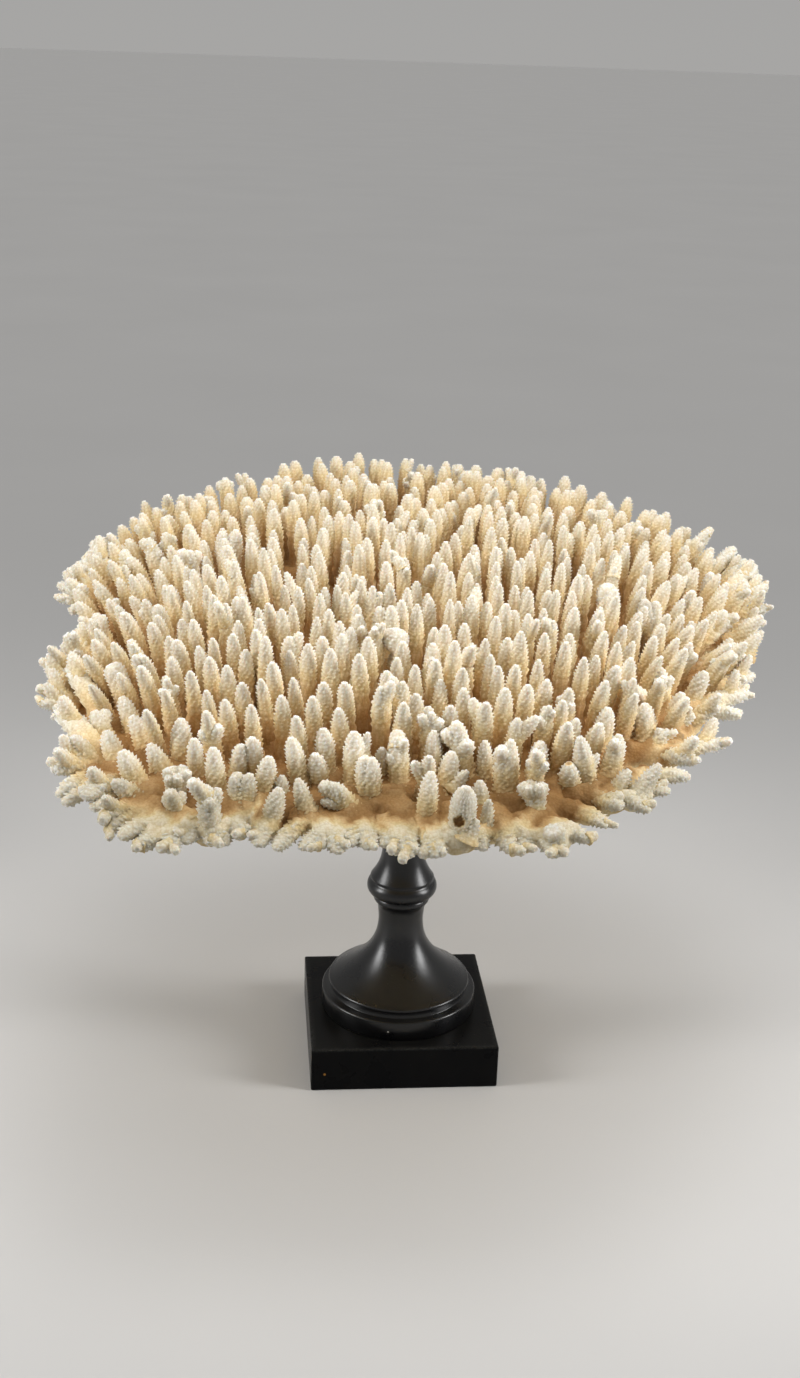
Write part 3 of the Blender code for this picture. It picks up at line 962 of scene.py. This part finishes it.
def growth_root(growth, sizes):
    """The root of a growth, for knitting into the table; one that starts above the table has none."""
    foot, tip = chord_of(growth, sizes)
    way = unit(tip - foot)
    if growth.form == "lobe":
        length = float(np.linalg.norm(tip - foot))
        return [root_tube(foot, unit(way * (1, 1, 0.3)), way, length, growth.radius * MM)]
    if growth.start > 0.0:
        return []
    inside = smooth_step(0.006, 0.025, rim_reach(bearing(foot)) - np.hypot(*foot[:2]))
    girths = np.array([1.3, 1.25, 1.0]) + np.array([1.1, 0.55, 0.0]) * inside
    girths *= growth.radius * MM
    return [solid_tube(foot + np.outer(np.array([-3, 2, 7]) * MM, way), girths, girths)]


def limb_height(reach, sizes):
    """Height of a limb's axis: it climbs from the trunk and flattens into the table."""
    climb = sizes.table_height - RUNNER_DEPTH - LIMB_START
    return LIMB_START + climb * smooth_step(0.010, 0.090, reach)


def away_from_holes(plan, distance, sizes):
    """Which of these places on the table are farther than this from all of its holes."""
    holes = gathered([table_place(sizes, pixel, 0.0) for pixel in TABLE_HOLES])[:, :2]
    return np.min(np.linalg.norm(plan[:, None] - holes, axis=2), axis=1) > distance


def runner_tubes(chance, path, sizes):
    """A runner in the table, with gaps at its holes, and its limb below it near the trunk."""
    plan = to_plan(path)
    reach, angle = path.T
    share = reach / rim_reach(angle)
    wide = (8.0 - 2.4 * smooth_step(0.7, 1.0, share)) * MM
    high = (5.2 - 1.2 * share) * MM
    margin = (19 - 9 * front_share(angle) - 8 * back_share(angle)) * MM
    keep = (reach < rim_reach(angle) - margin) & away_from_holes(plan, RUNNER_CLEARANCE, sizes)
    line = np.column_stack([plan, table_top(sizes, *plan.T) - RUNNER_DEPTH])
    tubes = []
    for run in np.split(np.arange(len(plan)), np.flatnonzero(~keep)):
        run = run[keep[run]]
        if len(run) > 3:
            tubes.append(solid_tube(line[run], wide[run], high[run], 10))
    low = reach < LIMB_REACH
    if low.sum() > 3:
        tilt = sizes.rise_back * plan[:, 1] + sizes.rise_right * plan[:, 0]
        limb = np.column_stack([plan, limb_height(reach, sizes) + tilt])[low]
        thick = (7.8 - 2.6 * smooth_step(0.03, LIMB_REACH, reach)) * chance.uniform(0.8, 1.15) * MM
        tubes.append(solid_tube(limb, thick[low], 1.3 * thick[low], 10))
    return tubes


def low_mounds(chance, paths, sizes):
    """Low swellings of the table where it shows between the branchlets of the front."""
    tubes = []
    for reach, angle in (place for path in paths for place in path[::3]):
        spot = np.array([reach * cos(angle), reach * sin(angle)]) + chance.normal(0.0, 3 * MM, 2)
        if not 0.72 + 0.6 * (1.0 - front_share(angle)) <= rim_share(spot) <= 0.94:
            continue
        if not away_from_holes(spot[None], MOUND_CLEARANCE, sizes)[0]:
            continue
        rise = unit((0.5 * cos(angle), 0.5 * sin(angle), 1.0))
        heights = np.array([-4.0, 0.0, chance.uniform(1.5, 5.0)]) * MM
        girths = np.array([7.0, 6.0, chance.uniform(2.5, 4.5)]) * MM
        tubes.append(solid_tube(on_table(sizes, spot) + np.outer(heights, rise), girths, girths))
    return tubes


def stalk_tubes(chance, spots, sizes):
    """What the stalk is knit from: the trunk, its uneven ridges and the feet of its branchlets."""
    heights = np.linspace(TRUNK_FOOT, TRUNK_TOP, 24) * MM
    girth = 23 * MM + 9 * MM * smooth_step(0.149, 0.200, heights)
    # A tube needs an axis that is a hair off the upright
    trunk = [(1e-5 * height, 0.0, height) for height in heights]
    tubes = [solid_tube(trunk, girth, girth, 24)]
    for number in range(TRUNK_RIDGES):
        angle = tau * (number + chance.uniform(0.1, 0.9)) / TRUNK_RIDGES
        ridge = []
        for out, height in ((24, TRUNK_FOOT), (25, 162), (27, 176), (30, 191), (33, 205)):
            angle += chance.normal(0.0, 0.07)
            reach = (out + chance.uniform(-2.5, 1.5)) * MM
            ridge.append((reach * cos(angle), reach * sin(angle), height * MM))
        girths = chance.uniform(2.5, 7.0, 5) * MM
        tubes.append(solid_tube(ridge, girths, girths))
    return tubes + [branchlet_stub(spot, sizes) for spot in spots]


def fan_tubes(chance, paths, spots, lobes, growths, sizes):
    """What a fan is knit from: its runners and limbs, its mounds, and the feet of what stands on it."""
    tubes = []
    for path in paths:
        if len(path) > 3:
            tubes += runner_tubes(chance, path, sizes)
    tubes += [branchlet_stub(spot, sizes) for spot in spots]
    tubes += low_mounds(chance, paths, sizes)
    for foot, foot_way, tip_way, length, radius in lobes:
        tubes.append(root_tube(foot, foot_way, unit(foot_way + tip_way), length, radius))
    for growth in growths:
        tubes += growth_root(growth, sizes)
    return tubes


def outward(points, tris):
    """Each point's own direction away from the skin."""
    faces = np.cross(points[tris[:, 1]] - points[tris[:, 0]], points[tris[:, 2]] - points[tris[:, 0]])
    total = np.zeros_like(points)
    for corner in range(3):
        np.add.at(total, tris[:, corner], faces)
    return unit(total)


def add_skin(heap, name, tubes):
    """Knits the tubes and puts their skin in the heap, roughened by low cups and marked for depth, which
    paints shade: darker on its low points and between the branchlets, lighter where it rises.
    """
    points, tris = knit(name, tubes)
    # The low points get a low cup mark, which paints them darker as shade.
    cup = heap.chance.random(len(points)) ** 2
    x, y, z = points.T
    edge = smooth_step(0.80, 0.92, np.hypot(x, y) / rim_reach(np.arctan2(y, x)))
    points = points + outward(points, tris) * (((1.0 + 0.9 * edge) * cup - 0.3) * MM)[:, None]
    # Painted shade: the depth mark is darkest low between the branchlets and lighter where the skin
    # stands higher.
    above = z - table_top(heap.sizes, x, y)
    upper = smooth_step(-5 * MM, -1 * MM, above)
    raised = 1.0 - 0.3 * smooth_step(1 * MM, 8 * MM, above)
    heap.add(points, tris, 0.3 + upper * (table_depth(x, y) * raised - 0.3), cup)


class Nodes:
    """The nodes of a new material or world; most calls add one and give the socket to read."""

    def __init__(self, owner):
        owner.use_nodes = True
        self.owner, self.tree = owner, owner.node_tree
        self.coordinates = self.add("TexCoord").outputs

    def feed(self, socket, value):
        """Links a socket, or sets it to a number, a place or a colour."""
        if isinstance(value, bpy.types.NodeSocket):
            self.tree.links.new(value, socket)
        elif isinstance(value, (int, float)):
            socket.default_value = value
        else:
            socket.default_value = (*value, 1.0)[:len(socket.default_value)]

    def add(self, kind, **values):
        """A node with these settings; a name that isn't a setting is a socket's."""
        node = self.tree.nodes.new("ShaderNode" + kind)
        for label, value in values.items():
            if hasattr(node, label):
                setattr(node, label, value)
            else:
                self.feed(node.inputs[label.replace("_", " ").title()], value)
        return node

    def mark(self, label):
        return self.add("Attribute", attribute_name=label).outputs["Fac"]

    def noise(self, scale, detail, roughness=0.5):
        place = self.coordinates["Object"]
        node = self.add("TexNoise", vector=place, scale=scale, detail=detail, roughness=roughness)
        return node.outputs["Fac"]

    def parts(self, vector):
        return self.add("SeparateXYZ", vector=vector).outputs

    def math(self, operation, *values):
        node = self.add("Math", operation=operation)
        for socket, value in zip(node.inputs, values):
            self.feed(socket, value)
        return node.outputs[0]

    def mix(self, share, first, second, mode="MIX"):
        node = self.add("Mix", data_type="RGBA", blend_type=mode)
        for index, value in ((0, share), (6, first), (7, second)):
            self.feed(node.inputs[index], value)
        return node.outputs[2]

    def times(self, first, second):
        return self.mix(1.0, first, second, "MULTIPLY")

    def ramp(self, source, *stops):
        """A colour ramp read by source; stops are (place, colour) or (place, grey)."""
        node = self.add("ValToRGB")
        elements = node.color_ramp.elements
        while len(elements) < len(stops):
            elements.new(0.5)
        for element, (place, color) in zip(elements, stops):
            element.position = place
            element.color = (color, color, color, 1.0) if isinstance(color, float) else (*color, 1.0)
        self.feed(node.inputs[0], source)
        return node.outputs[0]

    def bump(self, height, strength, distance):
        node = self.add("Bump", strength=strength, distance=distance)
        self.feed(node.inputs["Height"], height)
        return node.outputs["Normal"]

    def finish(self, values):
        """Feeds the shader's or the background's sockets by name; gives the material or world."""
        last = self.tree.nodes.get("Principled BSDF") or self.tree.nodes["Background"]
        for label, value in values.items():
            self.feed(last.inputs[label], value)
        return self.owner


class CoralColors(bpy.types.PropertyGroup):
    """Colours of the skeleton from its tips down to the table: its own white and tan, darkened towards
    the feet and recesses as painted shade.
    """

    tip: FloatVectorProperty(
        name="Tips", description="Whitest ends", subtype="COLOR", default=(0.97, 0.96, 0.92)
    )
    shaft: FloatVectorProperty(
        name="Shafts", description="Sides of the branchlets", subtype="COLOR", default=(0.93, 0.79, 0.52)
    )
    foot: FloatVectorProperty(
        name="Feet", description="Feet of the branchlets", subtype="COLOR", default=(0.76, 0.54, 0.29)
    )
    recess_tone_and_shade: FloatVectorProperty(
        name="Recesses", description="Between branchlets", subtype="COLOR", default=(0.40, 0.225, 0.085)
    )
    dust: FloatVectorProperty(
        name="Dust", description="Grey patches", subtype="COLOR", default=(0.50, 0.47, 0.40)
    )
    # Darkens the front rim: painted shade, with a little real grey soil.
    rim_shade_and_soil: FloatVectorProperty(
        name="Rim shade and soil", description="Tint by the front rim", subtype="COLOR", default=(0.72, 0.71, 0.66)
    )


def front_rim_shade_mask(nodes):
    """1 low down by the front rim, where the skeleton is painted darker and greyer: painted shade, with
    some real greying.
    """
    parts = nodes.parts(nodes.coordinates["Object"])
    masks = []
    for label, near, far in (("Y", -0.115, -0.155), ("Z", 0.236, 0.222)):
        node = nodes.add("MapRange", value=parts[label], from_min=near, from_max=far)
        masks.append(node.outputs[0])
    return nodes.times(*masks)


def coral_finish(colors):
    """Chalky white tips that turn tan and dark between the branchlets, partly the skeleton's own tan and
    partly painted shade, with dust, grain and tiny beads.
    """
    nodes = Nodes(bpy.data.materials.new("coral_finish"))
    # The depth mark darkens the skeleton from its tips to the recesses: partly its own tan, partly
    # painted shade between the branchlets.
    base = nodes.ramp(
        nodes.mark("depth"),
        (0.03, colors.tip), (0.28, colors.shaft), (0.60, colors.foot), (0.95, colors.recess_tone_and_shade),
    )
    base = nodes.times(base, nodes.ramp(nodes.noise(38.0, 3.0), (0.3, 0.95), (0.7, 1.0)))
    # Points between the raised cups are painted darker: painted shade in the low points.
    base = nodes.times(base, nodes.ramp(nodes.mark("cup"), (0.0, (0.88, 0.82, 0.70)), (1.0, 1.0)))
    dusty = nodes.ramp(nodes.noise(160.0, 4.0, 0.6), (0.42, 0.0), (0.62, 0.8))
    base = nodes.mix(nodes.times(dusty, nodes.mark("dust")), base, colors.dust)
    # Painted shade, with some real greying: the front rim low down is darkened and greyed.
    base = nodes.mix(front_rim_shade_mask(nodes), base, nodes.times(base, colors.rim_shade_and_soil))
    grain = nodes.noise(1500.0, 2.0)
    place = nodes.coordinates["Object"]
    # Tiny beads, with painted shade darkening the gaps between them.
    cells = nodes.add("TexVoronoi", vector=place, scale=780.0, randomness=0.8)
    beads = nodes.ramp(cells.outputs["Distance"], (0.15, 1.0), (0.7, 0.0))
    gaps = nodes.ramp(beads, (0.0, (0.80, 0.72, 0.60)), (0.5, 1.0))
    base = nodes.mix(0.6, base, nodes.times(base, gaps))
    return nodes.finish({
        "Base Color": base,
        "Normal": nodes.bump(nodes.mix(0.2, beads, grain), 0.5, 0.0003),
        "Roughness": nodes.ramp(grain, (0.0, 0.70), (1.0, 0.92)),
        "Specular IOR Level": 0.3,
        "Subsurface Weight": 0.12,
        "Subsurface Radius": (1.0, 0.55, 0.25),
        "Subsurface Scale": 0.003,
    })


# Where the lacquer is chipped on the plinth's front, and a pale speck on the foot disc's side
PLINTH_CHIP = (-0.0428, -0.0500, 0.0100)
DISC_SPECK = (-0.0089, -0.0412, 0.0299)


class PedestalSizes(bpy.types.PropertyGroup):
    """Sizes of the turned pedestal."""

    steps: IntProperty(name="Steps", description="Facets round the column", default=96)
    plinth_side: FloatProperty(name="Plinth side", description="Square", default=0.100, unit="LENGTH")
    plinth_height: FloatProperty(
        name="Plinth height", description="Up to the foot disc", default=0.0246, unit="LENGTH"
    )
    plinth_edge: FloatProperty(name="Plinth edge", description="Rounding", default=0.0009, unit="LENGTH")


def arc(center_radius, center_height, radius, span, steps=12):
    """Points of a round stretch of a turned profile, as (radius, height); span is in degrees."""
    angles = np.radians(np.linspace(span[0], span[1], steps + 1))
    return [(center_radius + radius * cos(a), center_height + radius * sin(a)) for a in angles]


def bead(widest, height, radius, span):
    return arc(widest - radius, height, radius, span)


def cove(start, end, hollow, steps=20):
    """Points of a trumpet-shaped stretch from start down to end; hollow pulls its middle inwards."""
    t = np.arange(1, steps) / steps
    radii = start[0] + (end[0] - start[0]) * t ** hollow
    heights = start[1] + (end[1] - start[1]) * t
    return list(zip(radii, heights))


def column_profile():
    """The turning's outline from the middle of its top down to the middle of its foot, in mm."""
    neck, waist = (11.2, 120.0), (12.1, 78.0)
    upper_cone, bead_foot, shoulder = (17.2, 102.3), (13.2, 86.6), (37.4, 41.7)
    profile = [(0.0, 149.0), (20.0, 149.0)]
    profile += arc(25.0, 147.0, 2.0, (90, -90))
    profile += reversed(cove(neck, (23.0, 145.0), 2.4))
    profile += [neck]
    profile += cove(neck, upper_cone, 2.2)
    profile += [upper_cone, (17.05, 101.9), (16.8, 101.7)]
    profile += bead(18.9, 96.8, 5.2, (52, -57))
    profile += bead(15.2, 89.9, 2.7, (42, -55))
    profile += cove(bead_foot, waist, 0.6, 6)
    profile += [waist]
    profile += cove(waist, shoulder, 2.4, 36)
    profile += bead(38.6, 40.2, 1.1, (80, -90))
    profile += [(37.5, 39.05), (37.4, 38.9), (37.4, 35.6), (37.6, 35.4)]
    profile += bead(42.2, 34.4, 1.0, (90, 0))
    profile += [(42.2, 25.2), (42.0, 24.7), (0.0, 24.7)]
    return profile


def turn(name, profile, steps):
    """A turned piece: the profile swept round the Z axis."""
    mesh = bpy.data.meshes.new(name)
    points = [(radius * MM, 0.0, height * MM) for radius, height in profile]
    mesh.from_pydata(points, [(index, index + 1) for index in range(len(points) - 1)], [])
    item = new_object(name, mesh)
    modify(
        item, "turning", "SCREW", steps=steps, render_steps=steps, use_merge_vertices=True,
        merge_threshold=0.00001, use_smooth_shade=True,
    )
    return item


def block(name, side, height, edge):
    """A square block on the ground with rounded edges and flat faces."""
    mesh = bpy.data.meshes.new(name)
    corners = bmesh.new()
    bmesh.ops.create_cube(corners, size=1.0, matrix=Matrix.Translation((0.0, 0.0, 0.5)))
    bmesh.ops.scale(corners, vec=(side, side, height), verts=corners.verts)
    corners.to_mesh(mesh)
    corners.free()
    mesh.shade_smooth()
    item = new_object(name, mesh)
    modify(item, "softened edges", "BEVEL", width=edge, segments=4)
    modify(item, "flat faces", "WEIGHTED_NORMAL", keep_sharp=True)
    return item


def spot_mask(nodes, centre, radius):
    """White within this radius of a point, fading at its ragged edge."""
    apart = nodes.add("VectorMath", operation="DISTANCE")
    nodes.feed(apart.inputs[0], nodes.coordinates["Object"])
    nodes.feed(apart.inputs[1], centre)
    share = nodes.math("DIVIDE", apart.outputs["Value"], 2.0 * radius)
    return nodes.ramp(share, (0.4, 1.0), (0.55, 0.0))


def edge_mask(nodes, sizes):
    """White along the upper edges of the plinth."""
    parts = nodes.parts(nodes.coordinates["Object"])
    aside = [nodes.math("ABSOLUTE", parts[label]) for label in ("X", "Y")]
    half, top, edge = sizes.plinth_side / 2, sizes.plinth_height, 0.8 * sizes.plinth_edge
    outer = nodes.math("MAXIMUM", *aside)
    border = nodes.ramp(outer, (half - 1.4 * edge, 0.0), (half - 0.6 * edge, 1.0))
    upper = nodes.ramp(parts["Z"], (top - 1.2 * edge, 0.0), (top - 0.4 * edge, 1.0))
    return nodes.times(border, upper)


def lacquer_finish(name, gloss, marks, sizes=None):
    """Black lacquer with dust on top, also painted lighter there as sheen; marks are (centre, radius,
    colour) of chips and specks.

    With the plinth's sizes it is worn along the upper edges.
    """
    nodes = Nodes(bpy.data.materials.new(name))
    cloud, specks = nodes.noise(45.0, 4.0), nodes.noise(900.0, 2.0)
    base = nodes.ramp(cloud, (0.3, (0.002, 0.002, 0.0025)), (0.75, (0.004, 0.004, 0.004)))
    facing = nodes.parts(nodes.add("NewGeometry").outputs["Normal"])
    # Upward faces are lighter: dust, and painted sheen of their grazing reflection.
    upward = nodes.ramp(facing["Z"], (0.6, 0.0), (0.95, 1.0))
    dust_and_sheen = nodes.times(upward, nodes.ramp(cloud, (0.3, 0.3), (0.7, 1.0)))
    base = nodes.mix(dust_and_sheen, base, (0.008, 0.0077, 0.007))
    flecks = nodes.ramp(specks, (0.70, 0.0), (0.78, 0.35))
    base = nodes.mix(flecks, base, (0.09, 0.085, 0.08))
    if sizes:
        worn = nodes.times(nodes.ramp(specks, (0.40, 0.2), (0.60, 0.8)), edge_mask(nodes, sizes))
        base = nodes.mix(worn, base, (0.13, 0.13, 0.12))
    for centre, radius, color in marks:
        base = nodes.mix(spot_mask(nodes, centre, radius), base, color)
    return nodes.finish({
        "Base Color": base,
        "Normal": nodes.bump(specks, 0.15, 0.0002),
        "Roughness": nodes.ramp(cloud, (0.3, 0.25), (0.75, 0.33)),
        "IOR": 1.4,
        "Specular IOR Level": gloss,
    })


def steel_finish():
    """Drawn steel, a little dull."""
    nodes = Nodes(bpy.data.materials.new("steel_finish"))
    drawn = nodes.noise(600.0, 2.0)
    return nodes.finish({
        "Base Color": nodes.ramp(drawn, (0.3, 0.45), (0.7, 0.62)),
        "Roughness": nodes.ramp(drawn, (0.3, 0.28), (0.7, 0.42)),
        "Metallic": 1.0,
    })


def carry(item, node, material):
    """A made piece takes its node's place, body, slot and finish."""
    item.data.materials.clear()
    item.data.materials.append(material)
    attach(item, "root")
    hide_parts(node)


def carry_coral(heap, name):
    """Makes a heap the piece that takes a coral node's place, in the skeleton's one finish."""
    colors = bpy.context.scene.coral_colors
    finish = bpy.data.materials.get("coral_finish") or coral_finish(colors)
    carry(heap.to_object(name + "_skeleton"), name, finish)


class MESH_OT_pedestal_plinth(bpy.types.Operator):
    """Square block with softened edges"""

    bl_idname = "mesh.pedestal_plinth"
    bl_label = "Plinth"

    def execute(self, context):
        sizes = context.scene.pedestal_sizes
        item = block("plinth_block", sizes.plinth_side, sizes.plinth_height, sizes.plinth_edge)
        marks = [(PLINTH_CHIP, 0.7 * MM, (0.30, 0.14, 0.03))]
        carry(item, "plinth", lacquer_finish("plinth_finish", 0.10, marks, sizes))
        return {"FINISHED"}


class MESH_OT_pedestal_column(bpy.types.Operator):
    """Turned column, from the foot disc to the top dish"""

    bl_idname = "mesh.pedestal_column"
    bl_label = "Column"

    def execute(self, context):
        item = turn("column_turning", column_profile(), context.scene.pedestal_sizes.steps)
        marks = [(DISC_SPECK, 0.5 * MM, (0.45, 0.44, 0.40))]
        carry(item, "column", lacquer_finish("column_finish", 0.75, marks))
        return {"FINISHED"}


class MESH_OT_pedestal_pin(bpy.types.Operator):
    """Finish of the steel pin that holds the colony"""

    bl_idname = "mesh.pedestal_pin"
    bl_label = "Pin finish"

    def execute(self, context):
        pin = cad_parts["mounting_pin"]
        pin.data.materials.clear()
        pin.data.materials.append(steel_finish())
        return {"FINISHED"}


class MESH_OT_coral_stalk(bpy.types.Operator):
    """Trunk of the colony, with the branchlets in the middle of the table"""

    bl_idname = "mesh.coral_stalk"
    bl_label = "Coral stalk"

    def execute(self, context):
        sizes = context.scene.colony_sizes
        heap = Heap(np.random.default_rng(sizes.seed + 1), sizes)
        _, spots = plan_colony(sizes)
        spots = [spot for spot in spots if fan_of(spot, sizes) == "coral_stalk"]
        add_skin(heap, "coral_stalk_skin", stalk_tubes(heap.chance, spots, sizes))
        skin = heap.points[0]
        skin[:, 2] = np.maximum(skin[:, 2], TRUNK_FOOT * MM)
        for spot in spots:
            stand_branchlet(heap, spot)
        carry_coral(heap, "coral_stalk")
        return {"FINISHED"}


class MESH_OT_coral_fans(bpy.types.Operator):
    """The eight main branches that spread from the stalk into the table"""

    bl_idname = "mesh.coral_fans"
    bl_label = "Coral fans"

    def execute(self, context):
        sizes = context.scene.colony_sizes
        runners, spots = plan_colony(sizes)
        placed = [*FRONT_FINGERS, *MIDDLE_FINGERS]
        placed += [lobe._replace(form="lobe") for lobe in RIM_LOBES]
        carriers = [fan_of(table_place(sizes, growth.foot, 0)[:2], sizes) for growth in placed]
        for number, ((name, _), paths) in enumerate(zip(FANS, runners)):
            heap = Heap(np.random.default_rng(sizes.seed + 10 + number), sizes)
            own = [spot for spot in spots if fan_of(spot, sizes) == name]
            lobes = [plan_lobe(heap.chance, path, sizes) for path in paths if ends_at_back(path)]
            growths = [growth for growth, carrier in zip(placed, carriers) if carrier == name]
            tubes = fan_tubes(heap.chance, paths, own, lobes, growths, sizes)
            add_skin(heap, name + "_skin", tubes)
            for spot in own:
                stand_branchlet(heap, spot)
            for growth in growths:
                grow(heap, growth)
            for lobe in lobes:
                rim_lobe(heap, *lobe)
            carry_coral(heap, name)
        return {"FINISHED"}


class StageLook(bpy.types.PropertyGroup):
    """Floor, lights and camera."""

    floor_color: FloatVectorProperty(
        name="Floor", description="Plain and pale", subtype="COLOR", default=(0.62, 0.61, 0.595)
    )
    floor_radius: FloatProperty(
        name="Floor radius", description="Wide enough to reach the horizon", default=40.0, unit="LENGTH"
    )
    lamp_power: FloatProperty(
        name="Side softboxes", description="Power of the left one, in watts", default=1.15
    )
    top_power: FloatProperty(name="Top softbox", description="Power in watts", default=0.48)
    sun_strength: FloatProperty(name="Far light", description="Broad light from above", default=0.72)
    world_strength: FloatProperty(name="World strength", description="Even fill light", default=1.0)


def floor_finish(color):
    """Plain paper with a faint cloud in it."""
    nodes = Nodes(bpy.data.materials.new("stage_floor"))
    tone = nodes.ramp(nodes.noise(3.0, 3.0), (0.3, 0.97), (0.7, 1.0))
    return nodes.finish({"Base Color": nodes.times(color, tone), "Roughness": 0.75})


def place_lamp(lamp, place, target):
    """Puts a light here, aimed at the target."""
    item = new_object(lamp.name, lamp)
    item.visible_camera = False
    item.location = place
    item.rotation_euler = (Vector(place) - Vector(target)).to_track_quat("Z", "Y").to_euler()


def softbox(name, place, target, sides, power, spread):
    """A soft rectangular light, with a grid that narrows its beam to spread, in degrees."""
    lamp = bpy.data.lights.new(name, "AREA")
    lamp.shape = "RECTANGLE"
    lamp.spread = radians(spread)
    lamp.size, lamp.size_y = sides
    lamp.energy = power
    place_lamp(lamp, place, target)


def lay_floor(look):
    bpy.ops.mesh.primitive_circle_add(vertices=128, radius=look.floor_radius, fill_type="NGON")
    floor = bpy.context.object
    floor.name = "stage_floor"
    floor.data.materials.append(floor_finish(look.floor_color))


def light_stage(look):
    """A tall softbox to each side, a square one and a broad light above, and an even fill."""
    nodes = Nodes(bpy.data.worlds.new("stage_world"))
    upward = nodes.parts(nodes.coordinates["Generated"])["Z"]
    sky = nodes.ramp(upward, (0.0, (0.385, 0.38, 0.372)), (0.25, (0.34, 0.34, 0.34)))
    bpy.context.scene.world = nodes.finish({"Color": sky, "Strength": look.world_strength})
    sides, target = (0.34, 1.05), (0.0, -0.04, 0.20)
    softbox("lamp_left", (-1.0, -0.14, 0.62), target, sides, look.lamp_power, 50.0)
    softbox("lamp_right", (0.97, -0.30, 0.62), target, sides, 1.2 * look.lamp_power, 50.0)
    above, below = (0.02, -0.03, 0.86), (0.02, -0.04, 0.0)
    softbox("lamp_above", above, below, (0.40, 0.40), look.top_power, 90.0)
    sun = bpy.data.lights.new("lamp_far", "SUN")
    sun.angle = radians(40.0)
    sun.energy = look.sun_strength
    place_lamp(sun, (0.05, -0.10, 1.0), (0.0, 0.0, 0.0))


def place_camera():
    """The camera of the photograph."""
    camera = bpy.data.cameras.new("camera")
    camera.sensor_width = 36.0
    camera.lens = camera.sensor_width * VIEW_FOCAL / VIEW_TALL
    item = new_object("camera", camera)
    item.matrix_world = Matrix.Translation(VIEW_PLACE) @ view_axes().to_4x4()
    bpy.context.scene.camera = item


class SCENE_OT_coral_stage(bpy.types.Operator):
    """Pale floor, soft lights and the camera"""

    bl_idname = "scene.coral_stage"
    bl_label = "Stage"

    def execute(self, context):
        look = context.scene.stage_look
        lay_floor(look)
        light_stage(look)
        place_camera()
        context.scene.view_settings.view_transform = "Standard"
        return {"FINISHED"}


class VIEW3D_PT_table_coral(bpy.types.Panel):
    """Sidebar panel that lists the pieces and the stage"""

    bl_idname = "VIEW3D_PT_table_coral"
    bl_label = "Table coral"
    bl_space_type = "VIEW_3D"
    bl_region_type = "UI"
    bl_category = "Coral"

    def draw(self, context):
        scene = context.scene
        for group, operators in (
            (scene.pedestal_sizes, PEDESTAL_OPERATORS),
            (scene.colony_sizes, COLONY_OPERATORS),
            (scene.coral_colors, ()),
            (scene.stage_look, STAGE_OPERATORS),
        ):
            box = self.layout.box()
            for label in group.__annotations__:
                box.prop(group, label)
            for operator in operators:
                box.operator(operator.bl_idname)


GROUPS = {
    "pedestal_sizes": PedestalSizes,
    "colony_sizes": ColonySizes,
    "coral_colors": CoralColors,
    "stage_look": StageLook,
}
PEDESTAL_OPERATORS = (MESH_OT_pedestal_plinth, MESH_OT_pedestal_column, MESH_OT_pedestal_pin)
COLONY_OPERATORS = (MESH_OT_coral_stalk, MESH_OT_coral_fans)
STAGE_OPERATORS = (SCENE_OT_coral_stage,)
CLASSES = (
    *GROUPS.values(), *PEDESTAL_OPERATORS, *COLONY_OPERATORS, *STAGE_OPERATORS, VIEW3D_PT_table_coral
)


def register():
    for item in CLASSES:
        bpy.utils.register_class(item)
    for name, group in GROUPS.items():
        setattr(bpy.types.Scene, name, PointerProperty(type=group))


def unregister():
    for name in GROUPS:
        delattr(bpy.types.Scene, name)
    for item in reversed(CLASSES):
        bpy.utils.unregister_class(item)


def main():
    register()
    bpy.ops.mesh.pedestal_plinth()
    bpy.ops.mesh.pedestal_column()
    bpy.ops.mesh.pedestal_pin()
    bpy.ops.mesh.coral_stalk()
    bpy.ops.mesh.coral_fans()
    bpy.ops.scene.coral_stage()


if __name__ == "__main__":
    main()
